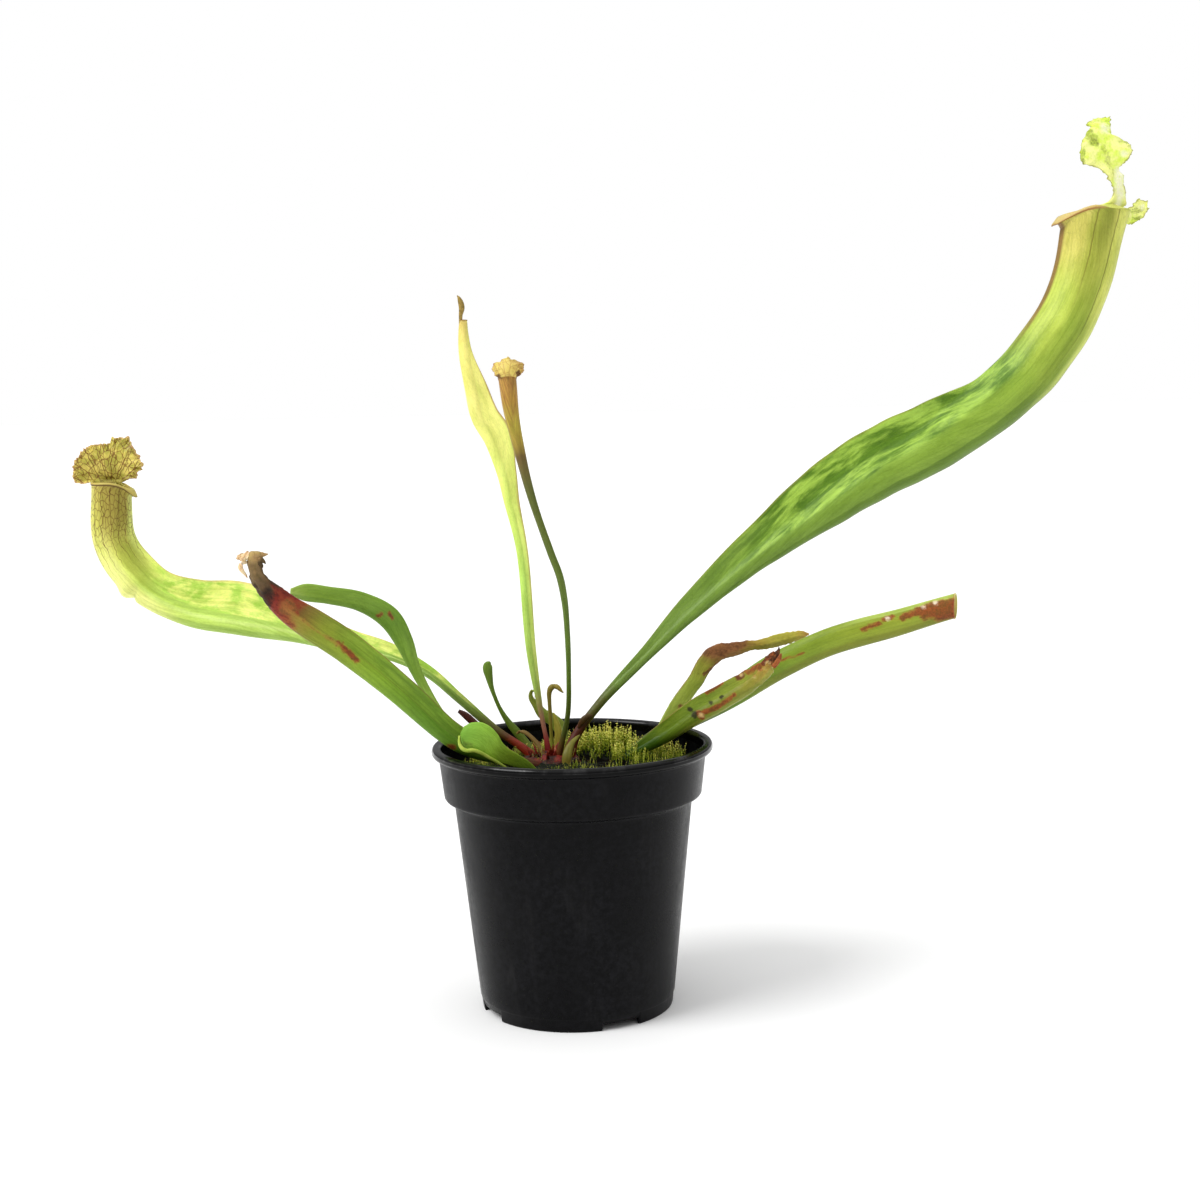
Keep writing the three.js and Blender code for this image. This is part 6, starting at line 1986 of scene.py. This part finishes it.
@dataclass
class Moss:
    """Upright sprigs of moss, and crumbs of peat, strewn over a surface."""

    ground: Ground
    seed: int = 4
    reach: float = 51.0
    steps: int = 160

    @staticmethod
    def material(name: str, dim: float = 1.0) -> Material:
        """Yellow-green moss, darkened towards the feet of the sprigs as painted shade.

        Args:
            name: The material's name.
            dim: Its brightness; the cushion under the sprigs takes a darker copy as painted shade.

        Returns:
            The material.
        """
        sh = Shader(name)
        tip = sh.read("tip")
        shade = sh.read("shade")
        patches = sh.noise(sh.space(6), 3)
        greens = tones((0.04, 16, 24, 3), (0.3, 84, 104, 16), (0.56, 164, 178, 44), (0.88, 238, 228, 116))
        dimmed = [(place, tuple(dim * part for part in green)) for place, green in greens]
        # Painted shade: the low tip values darken each sprig towards its foot, down in the moss.
        colour = sh.ramp(tip * 0.6 + shade * 0.5 - 0.08 + (patches - 0.5) * 0.7, dimmed)
        return sh.surface(Base_Color=colour, Roughness=0.6, Subsurface_Weight=0.1,
                          Subsurface_Scale=0.001, Specular_IOR_Level=0.12)

    def sprig(self, name: str, leaves: int, seed: int, spread: float) -> Piece:
        """One sprig, a unit high: a thin stem with rows of fine leaves.

        Args:
            name: Its name.
            leaves: How many leaves it has.
            seed: Seed of their places.
            spread: How long the leaves are.

        Returns:
            The sprig.
        """
        random = np.random.default_rng(seed)
        points = [(0.02, 0, 0), (-0.01, 0.018, 0), (-0.01, -0.018, 0), (0, 0, 1.0)]
        faces = [(0, 1, 3), (1, 2, 3), (2, 0, 3)]
        tips = [0.0, 0.0, 0.0, 1.0]
        for index in range(leaves):
            level = 0.12 + 0.86 * index / leaves
            turn = index * 2.4 + random.uniform(-0.3, 0.3)
            reach = spread * (1.15 - 0.75 * level) * random.uniform(0.8, 1.2)
            rise = random.uniform(0.5, 1.1) * reach
            ahead = (math.cos(turn), math.sin(turn))
            across = (-ahead[1] * 0.035, ahead[0] * 0.035)
            first = len(points)
            points += [
                (across[0], across[1], level), (-across[0], -across[1], level),
                (ahead[0] * reach * 0.55 + across[0] * 1.4, ahead[1] * reach * 0.55 + across[1] * 1.4,
                 level + rise * 0.4),
                (ahead[0] * reach, ahead[1] * reach, level + rise)]
            faces += [(first, first + 1, first + 2), (first + 1, first + 3, first + 2)]
            tips += [level * 0.7, level * 0.7, level * 0.8 + 0.1, min(1.0, level + 0.35)]
        made = mesh_object(name, points, faces)
        store(made.data, "tip", tips)
        return made

    @staticmethod
    def tree() -> bpy.types.NodeTree:
        """Builds the node tree that strews a piece over a surface."""
        graph = Graph(bpy.data.node_groups.new("strew", "GeometryNodeTree"))
        face = graph.tree.interface
        for name, kind in (("Geometry", "Geometry"), ("Piece", "Object"), ("Density", "Float"),
                           ("Smallest", "Float"), ("Largest", "Float"), ("Tilt", "Float"),
                           ("Seed", "Int"), ("Material", "Material")):
            face.new_socket(name, in_out="INPUT", socket_type=f"NodeSocket{kind}")
        face.new_socket("Geometry", in_out="OUTPUT", socket_type="NodeSocketGeometry")
        given = graph.node("NodeGroupInput").outputs
        room, tall = (graph.node("GeometryNodeInputNamedAttribute", {"data_type": "FLOAT"},
                                 {"Name": name}).outputs["Attribute"] for name in ("room", "tall"))
        strewn = graph.node("GeometryNodeDistributePointsOnFaces", {}, {
            "Mesh": given["Geometry"], "Density": graph.math("MULTIPLY", given["Density"], room),
            "Seed": given["Seed"]})
        size = graph.node("FunctionNodeRandomValue", {"data_type": "FLOAT"},
                          {2: given["Smallest"], 3: given["Largest"]}).outputs[1]
        tilt = given["Tilt"]
        back = graph.math("MULTIPLY", tilt, -1.0)
        low = graph.node("ShaderNodeCombineXYZ", {}, {"X": back, "Y": back})
        high = graph.node("ShaderNodeCombineXYZ", {}, {"X": tilt, "Y": tilt, "Z": 2 * math.pi})
        lean = graph.node("FunctionNodeRandomValue", {"data_type": "FLOAT_VECTOR"},
                          {0: low.outputs[0], 1: high.outputs[0]})
        piece = graph.node("GeometryNodeObjectInfo", {}, {"Object": given["Piece"]})
        placed = graph.node("GeometryNodeInstanceOnPoints", {}, {
            "Points": strewn.outputs["Points"], "Instance": piece.outputs["Geometry"],
            "Rotation": lean.outputs[0], "Scale": graph.math("MULTIPLY", size, tall)})
        shade = graph.node("FunctionNodeRandomValue", {"data_type": "FLOAT"}).outputs[1]
        kept = graph.node("GeometryNodeStoreNamedAttribute", {"data_type": "FLOAT", "domain": "INSTANCE"},
                          {"Geometry": placed.outputs[0], "Name": "shade", "Value": shade})
        real = graph.node("GeometryNodeRealizeInstances", {}, {"Geometry": kept.outputs[0]})
        coat = graph.node("GeometryNodeSetMaterial", {},
                          {"Geometry": real.outputs[0], "Material": given["Material"]})
        graph.node("NodeGroupOutput", {}, {"Geometry": coat.outputs[0]})
        return graph.tree

    @staticmethod
    def strew(name: str, surface: Piece, tree: bpy.types.NodeTree, **inputs: object) -> Piece:
        """Strews a piece over a surface and keeps the result as a plain mesh.

        Args:
            name: Name of the result.
            surface: The surface, with point values "room" and "tall".
            tree: The node tree.
            **inputs: The tree's inputs by name.

        Returns:
            The result.
        """
        made = link(name, surface.data.copy())
        modifier = made.modifiers.new("strew", "NODES")
        modifier.node_group = tree
        for item in tree.interface.items_tree:
            if item.in_out == "INPUT" and item.name in inputs:
                modifier[item.identifier] = inputs[item.name]
        replace_mesh(made)
        return made

    def surface(self) -> Piece:
        """The surface that moss and crumbs are strewn over."""
        ground = self.ground
        steps = np.linspace(-self.reach, self.reach, self.steps)
        x, y = np.meshgrid(steps, steps)
        flat = on_ground(x, y)
        turn = np.arctan2(y, x)
        radius = np.hypot(x, y)
        on_moss = (1 - smooth(radius - ground.moss_edge(turn), -3, 1)) * ground.covered(x, y)
        patchy = smooth(Ripple(71, 13).at(flat), -0.9, 0.4)
        right = smooth(x, -12, 6)
        room = on_moss * (0.3 + 0.7 * patchy) * (0.6 + 0.4 * right)
        low_front = smooth(y + 0.8 * np.maximum(x - 10, 0) + 0.4 * np.maximum(-20 - x, 0), -11, 12)
        back = np.exp(-(((x - 15) / 14) ** 2) - ((y - 32) / 12) ** 2)
        tall = (0.6 + 0.4 * patchy) * (0.7 + 0.3 * right + 0.5 * back) * (0.3 + 0.7 * low_front)
        z = ground.height(x, y) - 1.0 + ground.moss_depth(x, y) * on_moss
        lump = np.clip(1 - ((x - ground.crown[0]) / ground.crown_half[0]) ** 2
                       - ((y - ground.crown[1]) / ground.crown_half[1]) ** 2, 0, 1)
        z = np.maximum(z, ground.crown[2] + ground.crown_half[2] * np.sqrt(lump) - 4 * (lump <= 0) - 0.3)
        inside = radius < ground.pot.inner(96) - 1.5
        index = np.arange(x.size).reshape(x.shape)
        quads = np.stack([index[:-1, :-1], index[:-1, 1:], index[1:, 1:], index[1:, :-1]], -1)
        keep = inside[:-1, :-1] & inside[1:, 1:] & inside[:-1, 1:] & inside[1:, :-1]
        made = mesh_object("strewn_surface", np.stack([x, y, z], -1).reshape(-1, 3) * MM, quads[keep])
        store(made.data, "room", room.ravel())
        store(made.data, "tall", tall.ravel())
        return made

    def build(self) -> None:
        """Strews the moss and the crumbs."""
        surface = self.surface()
        tree = self.tree()
        leafy = self.material("moss_sprigs")
        kinds = (("moss_sprigs_low", 9, 0.2, 0.0018, 0.0034, 0.5, 1100000.0),
                 ("moss_sprigs_tall", 12, 0.08, 0.0032, 0.0086, 0.32, 950000.0))
        for number, (name, leaves, spread, small, large, tilt, dense) in enumerate(kinds):
            sprig = self.sprig(f"{name}_one", leaves, self.seed + number, spread)
            made = self.strew(name, surface, tree, Piece=sprig, Density=dense, Smallest=small,
                              Largest=large, Tilt=tilt, Seed=self.seed + number, Material=leafy)
            finish_piece(made, "moss")
            bpy.data.objects.remove(sprig)
        crumb = self.crumb()
        room = 1 - np.array([value.value for value in surface.data.attributes["room"].data])
        surface.data.attributes["room"].data.foreach_set("value", (0.15 + 0.85 * room).astype(np.float32))
        made = self.strew("peat_crumbs", surface, tree, Piece=crumb, Density=330000.0, Smallest=0.0004,
                          Largest=0.0015, Tilt=3.1, Seed=21, Material=Ground.peat_material())
        finish_piece(made, "peat")
        bpy.data.objects.remove(crumb)
        bpy.data.objects.remove(surface)

    @staticmethod
    def crumb() -> Piece:
        """One crumb of peat, about a unit across."""
        turn = circle(6)[None, :]
        tilt = np.radians([-50, 0, 45])[:, None]
        grid = np.stack([np.cos(tilt) * np.cos(turn), 0.7 * np.cos(tilt) * np.sin(turn),
                         0.6 * np.sin(tilt) * np.ones_like(turn)], -1) / 2
        grid = grid * (1 + 0.25 * Ripple(81, 0.9).at(grid))[..., None]
        return mesh_object("crumb", capped(grid), tube_faces(3, 6))


# ---------------------------------------------------------------- studio


@dataclass
class Studio:
    """The floor, the light and the camera."""

    camera_place: Point = (0.0, -700.0, 236.22)
    yaw: float = 0.0173
    pitch: float = 0.1083
    roll: float = -0.0216
    focal_share: float = 1811.68 / 1200
    sensor: float = 36.0
    floor_reach: float = 40.0
    key_from: Point = (-0.89, -0.45, 1.0)
    key_strength: float = 1.9
    key_spread: float = 32.0
    wall_light: float = 0.17
    ceiling_light: float = 1.12

    def camera(self) -> None:
        """Makes the camera at the photograph's viewing angle."""
        data = bpy.data.cameras.new("camera")
        data.sensor_width = self.sensor
        data.sensor_height = self.sensor
        data.lens = self.focal_share * self.sensor
        level = math.cos(self.pitch)
        ahead = Vector((math.sin(self.yaw) * level, math.cos(self.yaw) * level, -math.sin(self.pitch)))
        across = Vector((math.cos(self.yaw), -math.sin(self.yaw), 0))
        upright = across.cross(ahead)
        right = math.cos(self.roll) * across + math.sin(self.roll) * upright
        up = -math.sin(self.roll) * across + math.cos(self.roll) * upright
        turned = Matrix((right, up, -ahead)).transposed().to_4x4()
        turned.translation = Vector(self.camera_place) * MM
        made = link("camera", data)
        made.matrix_world = turned
        bpy.context.scene.camera = made

    def floor(self) -> None:
        """Makes the plain pale floor."""
        reach = self.floor_reach
        places = [(-reach, -reach, 0), (reach, -reach, 0), (reach, reach, 0), (-reach, reach, 0)]
        made = mesh_object("floor", places, [(0, 1, 2, 3)])
        made.data.materials.append(Shader("pale_floor").surface(
            Base_Color=(0.93, 0.93, 0.93), Roughness=0.9, Specular_IOR_Level=0.05))

    def sun(self) -> None:
        """Makes the broad key light, from the upper left and front."""
        data = bpy.data.lights.new("key", "SUN")
        data.energy = self.key_strength
        data.angle = math.radians(self.key_spread)
        made = link("key", data)
        made.rotation_euler = Vector(self.key_from).to_track_quat("Z", "Y").to_euler()

    def surroundings(self) -> None:
        """Lights the plant from a white ceiling over dim walls, in front of a white ground."""
        sh = Shader("studio", world=True)
        place = sh.node("ShaderNodeTexCoord").outputs["Generated"]
        strength = self.wall_light + sh.math("MAXIMUM", sh.part("Z", place), 0.0) * self.ceiling_light
        lit, plain = (sh.node("ShaderNodeBackground", {}, {"Color": (1, 1, 1), "Strength": level})
                      for level in (strength, 1.0))
        seen = sh.node("ShaderNodeLightPath").outputs["Is Camera Ray"]
        mixed = sh.node("ShaderNodeMixShader", {}, {0: seen, 1: lit.outputs[0], 2: plain.outputs[0]})
        sh.node("ShaderNodeOutputWorld", {}, {"Surface": mixed.outputs[0]})
        bpy.context.scene.world = sh.owner
        bpy.context.scene.view_settings.view_transform = "Standard"

    def build(self) -> None:
        """Sets up the studio."""
        self.camera()
        self.floor()
        self.sun()
        self.surroundings()


def corners(box: tuple[Vector, Vector]) -> list[list[float]]:
    """A box's corners as plain lists."""
    return [list(corner) for corner in box]


def main() -> None:
    """Builds the plant, its pot and the studio."""
    logging.basicConfig(level=logging.INFO, format="%(name)s: %(message)s")
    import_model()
    Studio().build()
    pot = Pot()
    pot.build()
    ground = Ground(pot)
    ground.peat()
    ground.crown_lump()
    ground.moss_bed()
    Moss(ground).build()
    for grow in (tall_right, veined_left, withered_front, bent_left, young_yellow, hooded_centre,
                 cut_right, rusty_right, bent_right, spoon_front):
        grow().build()
    for number, shoot in enumerate(SHOOTS):
        shoot.leaf(101 + number).build()
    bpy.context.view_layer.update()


if __name__ == "__main__":
    main()
